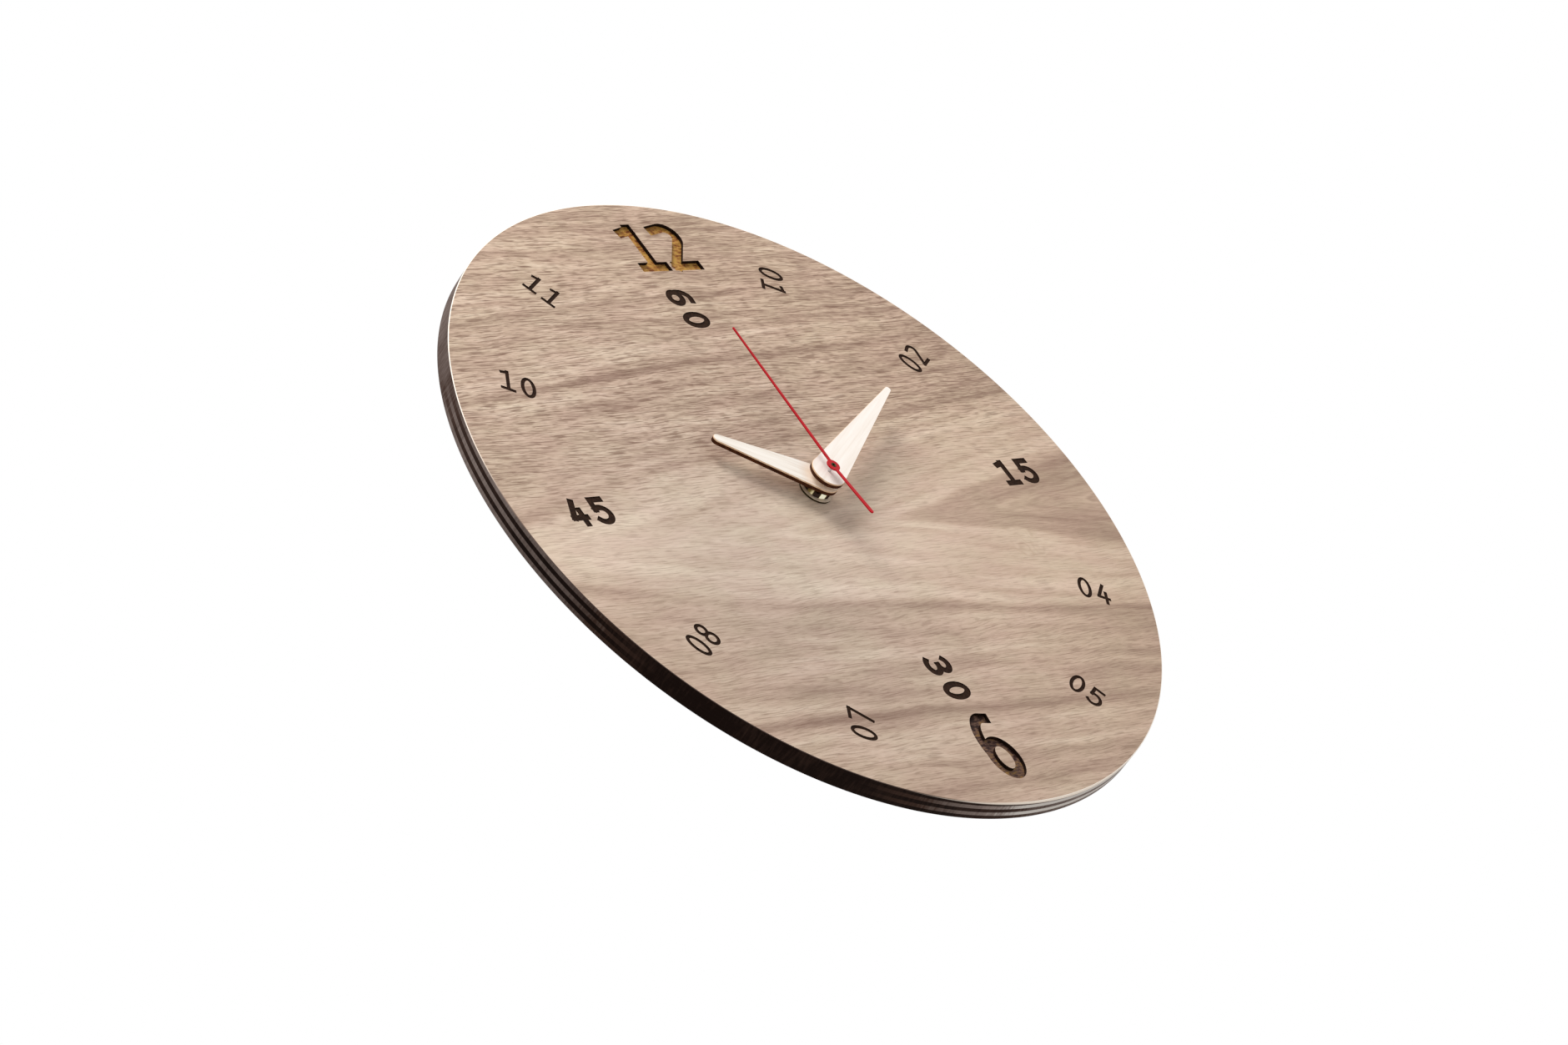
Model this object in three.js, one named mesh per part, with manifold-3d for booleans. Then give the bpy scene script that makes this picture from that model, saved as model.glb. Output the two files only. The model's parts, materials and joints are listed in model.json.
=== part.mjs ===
// A wooden wall clock with a battery movement, in millimetres.
// It is drawn in dial coordinates: x to 3 o'clock, y to 12 o'clock and z from the wall to the viewer.
// The pieces are then stood up, so that +Z is 12 o'clock and the dial faces -Y.
// The origin is where the axis of the hands meets the wall.

import * as THREE from 'three';
import { mergeVertices } from 'three/addons/utils/BufferGeometryUtils.js';
import Module from 'manifold-3d';

const wasm = await Module();
wasm.setup();

// Board: five plies of wood, glued
const dialRadius = 150;
const plyThickness = 1.67;
const plyNames = ['back_ply', 'rear_cross_ply', 'core_ply', 'front_cross_ply', 'face_ply'];
const boardSides = 120;

// Numerals, sunk deep into the face ply
const pocketDepth = 1.45;
const twelveHeight = 25.2;
const twelveDigitWidth = 15.7;
const twelveStroke = 4.8;
const twelveLeftX = 4.6;
const twelveRightX = 21.9;
const twelveY = 126.4;
const sixHeight = 30.4;
const sixWidth = 15.8;
const sixStroke = 4.6;
const sixX = -5;
const sixY = -124;

// Numbers, engraved in the face ply
const engravingDepth = 0.3;
const hourRingRadius = 122.7;
const hourNumberHeight = 11;
const hourDigitWidth = 6.2;
const hourStroke = 1.5;
const hourDigitGap = 2.2;
const minuteNumberHeight = 13.2;
const minuteDigitWidth = 8.6;
const minuteStroke = 2.7;
const minuteDigitGap = 3.2;
const fifteenX = 115;
const fortyFiveX = -115.8;
const sideNumberY = 0;
const sixtyX = 5.3;
const sixtyY = 93.8;
const thirtyX = -4.1;
const thirtyY = -91.9;

// Running, sliding and seated fits
const runningGap = 0.06;
const seatedGap = 0.03;
const looseGap = 0.25;
const axialGap = 0.3;
const cutOverrun = 1;

// Movement case
const caseTop = 28;
const caseDepth = 16;
const caseCorner = 3;
const caseWall = 1.4;
const ledgeWidth = 0.6;
const coverThickness = 1.4;
const coverGap = 0.15;
const partitionThickness = 1;
const trainBottomY = -11;
const postRadius = 1.2;
const postInset = 1.9;
const bossRadius = 1.2;
const bossHeight = 1;
const pivotDepth = 0.7;

// Battery, an AA cell
const cellRadius = 7;
const cellLength = 49.5;
const cellNubRadius = 2.7;
const cellNubLength = 1;
const cellGap = 0.3;
const cellEndGap = 0.1;
const contactThickness = 0.4;
const contactWidth = 4;
const contactGap = 0.3;
const contactPadRadius = 2.6;
const contactPadHeight = 0.25;

// Wheel train
const wheelThickness = 0.9;
const layerGap = 0.5;
const rotorModule = 0.3;
const intermediateModule = 0.4;
const secondModule = 0.36;
const thirdModule = 0.34;
const handModule = 0.45;
const rotorLeaves = 6;
const intermediateTeeth = 36;
const intermediateLeaves = 8;
const secondTeeth = 40;
const secondLeaves = 6;
const thirdTeeth = 45;
const thirdLeaves = 6;
const centreTeeth = 48;
const cannonLeaves = 10;
const motionTeeth = 30;
const motionLeaves = 8;
const hourTeeth = 32;
const settingLeaves = 10;
const thirdArborDegrees = 60;
const intermediateArborDegrees = 200;
const rotorArborDegrees = 120;
const motionArborDegrees = 0;
const settingArborDegrees = 0;
const wheelToothShares = { addendum: 0.8, dedendum: 1.15, root: 0.27, tip: 0.11 };
const leafShares = { addendum: 0.75, dedendum: 1.15, root: 0.22, tip: 0.12 };
const arborRadius = 0.4;
const motionPostRadius = 0.8;
const secondArborRadius = 0.5;
const cannonWall = 1;
const pipeWall = 0.8;
const bridgeThickness = 1.2;
const bridgeTopY = 17;

// Motor
const magnetRadius = 3;
const magnetThickness = 2.2;
const statorThickness = 1;
const statorHoleGap = 0.5;
const statorLobe = 1.9;
const statorLegWidth = 2.6;
const coilBottomY = -7.6;
const coilLength = 20;
const coilRadius = 3.6;
const coilFlangeThickness = 1;
const bobbinWall = 0.6;
const windingRadius = 3.2;

// Circuit board
const circuitHeight = 7.4;
const circuitThickness = 1;
const circuitTopGap = 0.6;
const circuitStandoff = 2.6;
const crystalRadius = 1;
const crystalLength = 6;
const crystalX = 6;

// Setting knob
const knobRadius = 5.5;
const knobThickness = 2;
const knobRecess = 0.4;
const knobShaftRadius = 1.2;
const knobRidges = 18;
const knobRidgeDepth = 0.35;
const knobWellGap = 0.5;

// Hanger, gasket, bush, washer and nut
const hangerThickness = 1;
const hangerWidth = 22;
const hangerBottomY = -11;
const hangerStepY = 30.4;
const hangerTopY = 48;
const hangerSetBack = 8;
const nailSlotWidth = 6;
const nailSlotHeight = 9;
const nailSlotBottomY = 34.5;
const gasketRadius = 11;
const gasketThickness = 1;
const bushRadius = 4;
const bushShoulder = 0.6;
const bushEndOverNut = 0.5;
const boardHoleGap = 0.25;
const washerRadius = 6.7;
const washerThickness = 0.8;
const nutAcrossFlats = 10;
const nutThickness = 2.6;
const nutDegrees = -17;

// Hands
const handThickness = 2;
const hourHandTop = 6.2;
const hourHandLength = 46;
const hourHubRadius = 6.7;
const hourTipRadius = 2;
const hourHandDegrees = 302.5;
const minuteHandTop = 10.2;
const minuteHandLength = 75.3;
const minuteHubRadius = 7;
const minuteTipRadius = 1.3;
const minuteHandFloor = 0.8;
const arborEyeRadius = 0.7;
const minuteHandDegrees = 59.4;
const secondHandTop = 13.5;
const secondHandThickness = 0.5;
const secondHandLength = 69.4;
const secondTailLength = 25;
const secondHubRadius = 2.75;
const secondRootWidth = 1.4;
const secondTipWidth = 0.9;
const secondTailWidth = 1.7;
const secondTipRise = 1.45;
const secondTailRise = 1.2;
const colletRadius = 0.95;
const colletLength = 1.1;
const pipeEndOverHand = 0.2;

// Round sections
const fineSides = 48;
const plainSides = 24;
const smallSides = 12;

// Colours
const walnut = new THREE.Color('#c8af98');
const crossWood = new THREE.Color('#b08a52');
const edgeWood = new THREE.Color('#8a6f58');
const handWood = new THREE.Color('#efe8dc');
const handRed = new THREE.Color('#c8202f');
const brassColour = new THREE.Color('#c9a85a');
const steelColour = new THREE.Color('#b9bcc0');
const blackPlastic = new THREE.Color('#26272a');
const whitePlastic = new THREE.Color('#e8e6df');
const clearPlastic = new THREE.Color('#dfe3e6');
const rubberColour = new THREE.Color('#1c1c1c');
const copperColour = new THREE.Color('#b4622f');
const boardGreen = new THREE.Color('#2f6b45');
const magnetColour = new THREE.Color('#4a4744');
const cellColour = new THREE.Color('#3f5f8a');

function finish(color, roughness, metalness) {
  return new THREE.MeshStandardMaterial({ color, roughness, metalness });
}

// Places worked out from the sizes above, all in dial coordinates
const caseFront = caseDepth;
const insideFront = caseDepth - caseWall;
const cellCentreZ = insideFront - cellGap - cellRadius;
const bayTop = trainBottomY - partitionThickness;
const bayBottom = bayTop - 2 * (cellRadius + cellGap);
const caseBottom = bayBottom - caseWall;
const insideTop = caseTop - caseWall;

const hangerFront = caseFront + hangerThickness;
const boardBack = hangerFront + gasketThickness;
const plyCount = plyNames.length;
const dialFace = boardBack + plyCount * plyThickness;
const nutTop = dialFace + washerThickness + nutThickness;
const bushTop = nutTop + bushEndOverNut;

const layerPitch = wheelThickness + layerGap;
const layerTop = (layer) => insideFront - layerGap - layer * layerPitch;
const layerBottom = (layer) => layerTop(layer) - wheelThickness;
const hourLayer = 0;
const motionLayer = 1;
const centreLayer = 2;
const thirdLayer = 3;
const secondLayer = 4;
const intermediateLayer = 5;
const bridgeFront = layerBottom(intermediateLayer) - layerGap;
const bridgeBack = bridgeFront - bridgeThickness;

const cannonBore = secondArborRadius + runningGap;
const cannonRadius = cannonBore + cannonWall;
const pipeBore = cannonRadius + runningGap;
const pipeRadius = pipeBore + pipeWall;
const bushBore = pipeRadius + runningGap;
const cannonTop = dialFace + minuteHandTop - minuteHandFloor - seatedGap;
const pipeTop = dialFace + hourHandTop + pipeEndOverHand;
const secondHandBottom = dialFace + secondHandTop - secondHandThickness;

const polar = (distance, degrees) => {
  const angle = THREE.MathUtils.degToRad(degrees);
  return new THREE.Vector2(distance * Math.cos(angle), distance * Math.sin(angle));
};
const meshDistance = (teethA, teethB, module) => (teethA + teethB) * module / 2;
const thirdPlace = polar(meshDistance(secondLeaves, thirdTeeth, secondModule), thirdArborDegrees);
const intermediatePlace = polar(
  meshDistance(secondTeeth, intermediateLeaves, intermediateModule),
  intermediateArborDegrees,
);
const rotorPlace = polar(
  meshDistance(intermediateTeeth, rotorLeaves, rotorModule),
  rotorArborDegrees,
).add(intermediatePlace);
const motionPlace = polar(meshDistance(cannonLeaves, motionTeeth, handModule), motionArborDegrees);
const settingPlace = polar(
  meshDistance(motionTeeth, settingLeaves, handModule),
  settingArborDegrees,
).add(motionPlace);
const centrePlace = new THREE.Vector2(0, 0);

// The coil stands beside the rotor, and the case is as wide as the cell or the coil needs
const statorHoleRadius = magnetRadius + statorHoleGap;
const statorLeft = rotorPlace.x - statorHoleRadius - statorLobe;
const coilX = statorLeft - looseGap - coilRadius;
const padFace = (cellLength + cellNubLength) / 2 + cellEndGap;
const contactInner = Math.max(padFace + contactPadHeight, coilRadius - coilX + contactGap);
const contactOuter = contactInner + contactThickness;
const insideHalfWidth = contactOuter + ledgeWidth;
const caseHalfWidth = insideHalfWidth + caseWall;

// Outlines: lists of points, anticlockwise

function circle(radius, sides, place = centrePlace) {
  return Array.from({ length: sides }, (_, i) => {
    const angle = 2 * Math.PI * i / sides;
    return new THREE.Vector2(place.x + radius * Math.cos(angle), place.y + radius * Math.sin(angle));
  });
}

// A bore is drawn round its circle, so that its flats keep the radius
function bore(radius, sides, place = centrePlace) {
  return circle(radius / Math.cos(Math.PI / sides), sides, place);
}

function rectangle(left, bottom, right, top) {
  return [
    new THREE.Vector2(left, bottom),
    new THREE.Vector2(right, bottom),
    new THREE.Vector2(right, top),
    new THREE.Vector2(left, top),
  ];
}

function roundedRectangle(left, bottom, right, top, corner) {
  const shape = new THREE.Shape();
  shape.moveTo(left + corner, bottom);
  shape.lineTo(right - corner, bottom);
  shape.absarc(right - corner, bottom + corner, corner, -Math.PI / 2, 0, false);
  shape.lineTo(right, top - corner);
  shape.absarc(right - corner, top - corner, corner, 0, Math.PI / 2, false);
  shape.lineTo(left + corner, top);
  shape.absarc(left + corner, top - corner, corner, Math.PI / 2, Math.PI, false);
  shape.lineTo(left, bottom + corner);
  shape.absarc(left + corner, bottom + corner, corner, Math.PI, 1.5 * Math.PI, false);
  return shape.getPoints(smallSides / 4);
}

// Teeth are flat-sided, with play on both sides of each tooth
function gear(teeth, module, shares, phase, place = centrePlace) {
  const pitchRadius = teeth * module / 2;
  const rootRadius = pitchRadius - shares.dedendum * module;
  const tipRadius = pitchRadius + shares.addendum * module;
  const pitchAngle = 2 * Math.PI / teeth;
  const corners = [
    [rootRadius, -shares.root],
    [tipRadius, -shares.tip],
    [tipRadius, shares.tip],
    [rootRadius, shares.root],
  ];
  const points = [];
  for (let tooth = 0; tooth < teeth; tooth += 1) {
    for (const [radius, share] of corners) {
      const angle = phase + (tooth + share) * pitchAngle;
      points.push(new THREE.Vector2(
        place.x + radius * Math.cos(angle),
        place.y + radius * Math.sin(angle),
      ));
    }
  }
  return points;
}

// The turn of a driven gear that puts a gap opposite the driver's tooth
function meshedPhase(driverPhase, driverTeeth, driverPlace, teeth, place) {
  const line = Math.atan2(place.y - driverPlace.y, place.x - driverPlace.x);
  return line + Math.PI + Math.PI / teeth - (driverPhase - line) * driverTeeth / teeth;
}

// Solids

function toSolid(geometry) {
  geometry.deleteAttribute('normal');
  geometry.deleteAttribute('uv');
  const merged = mergeVertices(geometry);
  return new wasm.Manifold(new wasm.Mesh({
    numProp: 3,
    vertProperties: merged.attributes.position.array,
    triVerts: new Uint32Array(merged.index.array),
  }));
}

// A flat plate from one height to another, with holes through it
function plate(outline, bottom, top, holes = []) {
  const shape = new THREE.Shape(outline);
  for (const hole of holes) {
    shape.holes.push(new THREE.Path(hole));
  }
  const geometry = new THREE.ExtrudeGeometry(shape, { depth: top - bottom, bevelEnabled: false });
  geometry.translate(0, 0, bottom);
  return toSolid(geometry);
}

function round(radius, bottom, top, sides = plainSides, place = centrePlace) {
  return plate(circle(radius, sides, place), bottom, top);
}

function ring(outerRadius, innerRadius, bottom, top, sides = fineSides, place = centrePlace) {
  return plate(circle(outerRadius, sides, place), bottom, top, [bore(innerRadius, sides, place)]);
}

function join(...solids) {
  return solids.reduce((whole, solid) => whole.add(solid));
}

function cut(solid, ...tools) {
  return tools.reduce((rest, tool) => rest.subtract(tool), solid);
}

// Strokes of numbers, in shares of the box that the middle of the stroke fills

function arcShares(x, y, radiusX, radiusY, fromDegrees, toDegrees, steps) {
  return Array.from({ length: steps + 1 }, (_, i) => {
    const angle = THREE.MathUtils.degToRad(fromDegrees + (toDegrees - fromDegrees) * i / steps);
    return [x + radiusX * Math.cos(angle), y + radiusY * Math.sin(angle)];
  });
}

const loopShares = (x, y, radiusX, radiusY) => arcShares(x, y, radiusX, radiusY, 0, 337.5, 15);

const digitStrokeShares = {
  0: [{ closed: true, path: loopShares(0.5, 0.5, 0.5, 0.5) }],
  1: [
    { path: [[0.04, 0.9], [0.5, 0.96]] },
    { path: [[0.52, 1], [0.52, 0]] },
    { path: [[0, 0], [1, 0]] },
  ],
  2: [
    { path: [[0.03, 0.95], ...arcShares(0.55, 0.76, 0.45, 0.24, 105, -25, 7), [0, 0]] },
    { path: [[0, 0], [1, 0]] },
  ],
  3: [
    { path: arcShares(0.42, 0.76, 0.5, 0.24, 140, -90, 6) },
    { path: arcShares(0.42, 0.26, 0.58, 0.26, 90, -140, 6) },
  ],
  4: [
    { path: [[0.56, 1], [0, 0.28]] },
    { path: [[0, 0.28], [1, 0.28]] },
    { path: [[0.74, 0.6], [0.74, 0]] },
  ],
  5: [
    { path: [[0.1, 1], [0.92, 1]] },
    { path: [[0.1, 1], [0.06, 0.56]] },
    { path: arcShares(0.4, 0.32, 0.6, 0.32, 125, -140, 7) },
  ],
  6: [
    { closed: true, path: loopShares(0.5, 0.29, 0.5, 0.29) },
    { path: [...arcShares(0.62, 0.5, 0.62, 0.5, 190, 90, 6), [0.84, 0.985]] },
  ],
  7: [
    { path: [[0, 1], [1, 1]] },
    { path: [[1, 1], [0.36, 0]] },
  ],
  8: [
    { closed: true, path: loopShares(0.5, 0.76, 0.42, 0.24) },
    { closed: true, path: loopShares(0.5, 0.26, 0.5, 0.26) },
  ],
};

// Two edges of a stroke at half its width from its middle; the ends of an open stroke are squared off
function strokeEdges(middle, width, closed) {
  const points = middle.map((point) => point.clone());
  const count = points.length;
  const half = width / 2;
  if (!closed) {
    const startWay = points[0].clone().sub(points[1]).setLength(half);
    const endWay = points[count - 1].clone().sub(points[count - 2]).setLength(half);
    points[0].add(startWay);
    points[count - 1].add(endWay);
  }
  const wayAt = (i) => {
    const from = points[closed ? i % count : Math.min(i, count - 2)];
    const to = points[closed ? (i + 1) % count : Math.min(i, count - 2) + 1];
    return to.clone().sub(from).normalize();
  };
  const left = [];
  const right = [];
  points.forEach((point, i) => {
    const after = wayAt(i);
    const before = closed ? wayAt(i + count - 1) : wayAt(Math.max(i - 1, 0));
    const mean = before.clone().add(after).normalize();
    const reach = half / mean.dot(after);
    const side = new THREE.Vector2(-mean.y, mean.x).multiplyScalar(reach);
    left.push(point.clone().add(side));
    right.push(point.clone().sub(side));
  });
  return [left, right];
}

// The tool that cuts one digit, lying in its own box with the lower left corner at zero
function digitTools(digit, width, height, stroke, bottom, top) {
  return digitStrokeShares[digit].map(({ path, closed = false }) => {
    const middle = path.map(([shareX, shareY]) => new THREE.Vector2(
      stroke / 2 + shareX * (width - stroke),
      stroke / 2 + shareY * (height - stroke),
    ));
    const [left, right] = strokeEdges(middle, stroke, closed);
    if (closed) {
      return plate(right, bottom, top, [left]);
    }
    return plate([...right, ...left.reverse()], bottom, top);
  });
}

// The tools for a number of several digits, centred on a place and turned
function numberTools(text, size, place, degrees, bottom, top) {
  const digits = [...text];
  const step = size.width + size.gap;
  const length = digits.length * step - size.gap;
  return digits.flatMap((digit, i) => digitTools(
    digit, size.width, size.height, size.stroke, bottom, top,
  ).map((tool) => tool
    .translate([i * step - length / 2, -size.height / 2, 0])
    .rotate([0, 0, degrees])
    .translate([place.x, place.y, 0])));
}

// Board

function boardHole() {
  return bore(bushRadius + boardHoleGap, plainSides);
}

function pocketTools(bottom, top) {
  const tall = { width: twelveDigitWidth, height: twelveHeight, stroke: twelveStroke, gap: 0 };
  const six = { width: sixWidth, height: sixHeight, stroke: sixStroke, gap: 0 };
  return [
    ...numberTools('1', tall, new THREE.Vector2(twelveLeftX, twelveY), 0, bottom, top),
    ...numberTools('2', tall, new THREE.Vector2(twelveRightX, twelveY), 0, bottom, top),
    ...numberTools('6', six, new THREE.Vector2(sixX, sixY), 0, bottom, top),
  ];
}

function engravingTools(bottom, top) {
  const hours = {
    width: hourDigitWidth, height: hourNumberHeight, stroke: hourStroke, gap: hourDigitGap,
  };
  const minutes = {
    width: minuteDigitWidth, height: minuteNumberHeight, stroke: minuteStroke, gap: minuteDigitGap,
  };
  const tools = [];
  for (const hour of [1, 2, 4, 5, 7, 8, 10, 11]) {
    const bearing = 90 - 30 * hour;
    // Each number lies along its radius, the way up that reads from left to right
    const readsOutward = hour > 1 && hour < 6;
    const turn = readsOutward ? bearing : bearing + 180;
    const place = polar(hourRingRadius, bearing);
    tools.push(...numberTools(String(hour).padStart(2, '0'), hours, place, turn, bottom, top));
  }
  const places = [
    ['15', fifteenX, sideNumberY, 0],
    ['45', fortyFiveX, sideNumberY, 0],
    ['60', sixtyX, sixtyY, -90],
    ['30', thirtyX, thirtyY, -90],
  ];
  for (const [text, x, y, turn] of places) {
    tools.push(...numberTools(text, minutes, new THREE.Vector2(x, y), turn, bottom, top));
  }
  return tools;
}

function ply(index) {
  const bottom = boardBack + index * plyThickness;
  const top = bottom + plyThickness;
  const disc = plate(circle(dialRadius, boardSides), bottom, top, [boardHole()]);
  if (index < plyCount - 1) {
    return disc;
  }
  return cut(
    disc,
    ...pocketTools(top - pocketDepth, top + cutOverrun),
    ...engravingTools(top - engravingDepth, top + cutOverrun),
  );
}

// Movement case and what it holds still

function postPlaces() {
  const right = insideHalfWidth - ledgeWidth - postInset;
  const low = trainBottomY + ledgeWidth + coverGap + postRadius;
  const high = bridgeTopY - postInset;
  const leftHigh = new THREE.Vector2(statorArmRight + postRadius + looseGap, high);
  const leftLow = new THREE.Vector2(intermediatePlace.x / 2, low);
  return [new THREE.Vector2(right, low), new THREE.Vector2(right, high), leftHigh, leftLow];
}

function movementCase() {
  const outer = plate(
    roundedRectangle(-caseHalfWidth, caseBottom, caseHalfWidth, caseTop, caseCorner),
    0,
    caseFront,
  );
  const bay = plate(
    rectangle(-insideHalfWidth, bayBottom, insideHalfWidth, bayTop),
    -cutOverrun,
    insideFront,
  );
  const coverSeat = plate(
    rectangle(-insideHalfWidth, trainBottomY, insideHalfWidth, insideTop),
    -cutOverrun,
    coverThickness,
  );
  const train = plate(
    rectangle(
      -insideHalfWidth + ledgeWidth,
      trainBottomY + ledgeWidth,
      insideHalfWidth - ledgeWidth,
      insideTop - ledgeWidth,
    ),
    -cutOverrun,
    insideFront,
  );
  const posts = postPlaces().map((place) => round(
    postRadius, bridgeFront, insideFront + caseWall / 2, smallSides, place,
  ));
  const pivotPlaces = [thirdPlace, intermediatePlace, rotorPlace];
  const bosses = pivotPlaces.map((place) => round(
    bossRadius, insideFront - bossHeight, insideFront + caseWall / 2, smallSides, place,
  ));
  const pivots = pivotPlaces.map((place) => plate(
    bore(arborRadius + runningGap, smallSides, place),
    insideFront - bossHeight - cutOverrun,
    insideFront + pivotDepth,
  ));
  const motionPost = round(
    motionPostRadius, layerBottom(motionLayer), insideFront + caseWall / 2, plainSides, motionPlace,
  );
  const bushHole = plate(
    bore(bushRadius - bushShoulder + seatedGap, plainSides),
    insideFront - cutOverrun,
    caseFront + cutOverrun,
  );
  const standoffs = circuitPostPlaces().map((place) => round(
    postRadius, circuitFront, insideFront + caseWall / 2, smallSides, place,
  ));
  const contactSlots = [-1, 1].map((side) => plate(
    rectangle(
      Math.min(side * insideHalfWidth, side * (contactInner - contactGap)),
      bayTop - cutOverrun,
      Math.max(side * insideHalfWidth, side * (contactInner - contactGap)),
      trainBottomY + ledgeWidth + cutOverrun,
    ),
    cellCentreZ - contactWidth / 2 - contactGap,
    cellCentreZ + contactWidth / 2 + contactGap,
  ));
  return cut(
    join(cut(outer, bay, coverSeat, train), ...posts, ...bosses, motionPost, ...standoffs),
    ...pivots,
    bushHole,
    ...contactSlots,
  );
}

function threadedBush() {
  const shank = round(bushRadius, caseFront, bushTop, fineSides);
  const spigot = round(bushRadius - bushShoulder, insideFront, caseFront + caseWall, plainSides);
  const hole = plate(bore(bushBore, plainSides), insideFront - cutOverrun, bushTop + cutOverrun);
  return cut(join(shank, spigot), hole);
}

function rearCover() {
  const panel = plate(
    rectangle(
      -insideHalfWidth + coverGap,
      trainBottomY + coverGap,
      insideHalfWidth - coverGap,
      insideTop - coverGap,
    ),
    0,
    coverThickness,
  );
  const well = plate(
    bore(knobRadius + knobWellGap, plainSides, settingPlace),
    -cutOverrun,
    coverThickness + cutOverrun,
  );
  const pillars = postPlaces().map((place) => round(
    postRadius, coverThickness / 2, bridgeBack, smallSides, place,
  ));
  return cut(join(panel, ...pillars), well);
}

function wheelBridge() {
  const outline = rectangle(
    rotorPlace.x - bossRadius - postInset,
    trainBottomY + ledgeWidth + coverGap,
    contactInner - contactGap,
    bridgeTopY,
  );
  const holes = [
    bore(arborRadius + runningGap, smallSides, thirdPlace),
    bore(arborRadius + runningGap, smallSides, intermediatePlace),
    bore(arborRadius + runningGap, smallSides, rotorPlace),
    bore(secondArborRadius + runningGap, smallSides),
    bore(knobShaftRadius + runningGap, plainSides, settingPlace),
  ];
  return plate(outline, bridgeBack, bridgeFront, holes);
}

// Battery and its contacts

function acrossX(outline, left, right) {
  // An outline in (z, y) that runs along x
  const solid = plate(outline, -right, -left);
  return solid.rotate([0, -90, 0]);
}

function dryCell() {
  const half = cellLength / 2;
  const middle = -cellNubLength / 2;
  const place = new THREE.Vector2(cellCentreZ, bayBottom + cellGap + cellRadius);
  const body = acrossX(circle(cellRadius, plainSides, place), middle - half, middle + half);
  const nub = acrossX(
    circle(cellNubRadius, plainSides, place),
    middle,
    middle + half + cellNubLength,
  );
  return join(body, nub);
}

function contactStrip(side) {
  const cellY = bayBottom + cellGap + cellRadius;
  const left = side > 0 ? contactInner : -contactOuter;
  const right = left + contactThickness;
  const strip = acrossX(
    rectangle(
      cellCentreZ - contactWidth / 2,
      cellY - contactWidth,
      cellCentreZ + contactWidth / 2,
      circuitBottom + circuitHeight,
    ),
    left,
    right,
  );
  const padEnds = [side * padFace, (left + right) / 2];
  const pad = acrossX(
    circle(contactPadRadius, smallSides, new THREE.Vector2(cellCentreZ, cellY)),
    Math.min(...padEnds),
    Math.max(...padEnds),
  );
  return join(strip, pad);
}

// Circuit board

const circuitTop = insideTop - ledgeWidth - circuitTopGap;
const circuitBottom = circuitTop - circuitHeight;
const circuitFront = insideFront - circuitStandoff;
const circuitHalfWidth = contactInner - seatedGap;

function circuitPostPlaces() {
  const middleY = (circuitTop + circuitBottom) / 2;
  const reach = circuitHalfWidth - postInset;
  return [new THREE.Vector2(-reach, middleY), new THREE.Vector2(reach, middleY)];
}

function circuitBoard() {
  return plate(
    rectangle(-circuitHalfWidth, circuitBottom, circuitHalfWidth, circuitTop),
    circuitFront - circuitThickness,
    circuitFront,
  );
}

function quartzCrystal() {
  const place = new THREE.Vector2(
    circuitFront - circuitThickness - crystalRadius,
    (circuitTop + circuitBottom) / 2,
  );
  return acrossX(
    circle(crystalRadius, smallSides, place),
    crystalX,
    crystalX + crystalLength,
  );
}

// Motor

const statorZ = layerTop(thirdLayer) - wheelThickness / 2;
const magnetTop = statorZ + magnetThickness / 2;
const magnetBottom = statorZ - magnetThickness / 2;
const statorTop = statorZ + statorThickness / 2;
const statorBottom = statorZ - statorThickness / 2;
const statorArmRight = statorLeft + statorLegWidth;

function statorCore() {
  const half = statorLegWidth / 2;
  const coilTop = coilBottomY + coilLength;
  const lobe = circle(statorHoleRadius + statorLobe, plainSides, rotorPlace);
  const low = rectangle(coilX - half, coilBottomY - half, statorArmRight, coilBottomY);
  const high = rectangle(coilX - half, coilTop, statorArmRight, coilTop + half);
  const core = rectangle(coilX - half, coilBottomY - half, coilX + half, coilTop + half);
  const arm = rectangle(statorLeft, coilBottomY - half, statorArmRight, coilTop + half);
  return cut(
    join(...[lobe, low, high, core, arm].map((outline) => plate(outline, statorBottom, statorTop))),
    plate(
      bore(statorHoleRadius, plainSides, rotorPlace),
      statorBottom - cutOverrun,
      statorTop + cutOverrun,
    ),
  );
}

// A solid that is round about the coil's line, which runs along y
function aboutCoil(radius, bottom, top) {
  return round(radius, bottom, top).rotate([-90, 0, 0]).translate([coilX, 0, statorZ]);
}

function coreTool(gap) {
  const half = statorLegWidth / 2 + gap;
  return plate(
    rectangle(coilX - half, coilBottomY - cutOverrun, coilX + half, coilBottomY + coilLength + cutOverrun),
    statorBottom - gap,
    statorTop + gap,
  );
}

const bobbinBottom = coilBottomY + axialGap;
const bobbinTop = coilBottomY + coilLength - axialGap;

function coilBobbin() {
  const tube = aboutCoil(statorLegWidth / 2 + bobbinWall + looseGap, bobbinBottom, bobbinTop);
  const lower = aboutCoil(coilRadius, bobbinBottom, bobbinBottom + coilFlangeThickness);
  const upper = aboutCoil(coilRadius, bobbinTop - coilFlangeThickness, bobbinTop);
  return cut(join(tube, lower, upper), coreTool(looseGap / 2));
}

function coilWinding() {
  const bottom = bobbinBottom + coilFlangeThickness + axialGap;
  const top = bobbinTop - coilFlangeThickness - axialGap;
  const outside = aboutCoil(windingRadius, bottom, top);
  const tube = aboutCoil(
    statorLegWidth / 2 + bobbinWall + 2 * looseGap,
    bottom - cutOverrun,
    top + cutOverrun,
  );
  return cut(outside, tube);
}

// Wheels: a toothed disc, its leaves and its arbor in one piece

function toothed(teeth, module, shares, phase, place, bottom, top) {
  return plate(gear(teeth, module, shares, phase, place), bottom, top);
}

function arbor(place, top) {
  return round(arborRadius, bridgeBack, top, smallSides, place);
}

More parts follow.
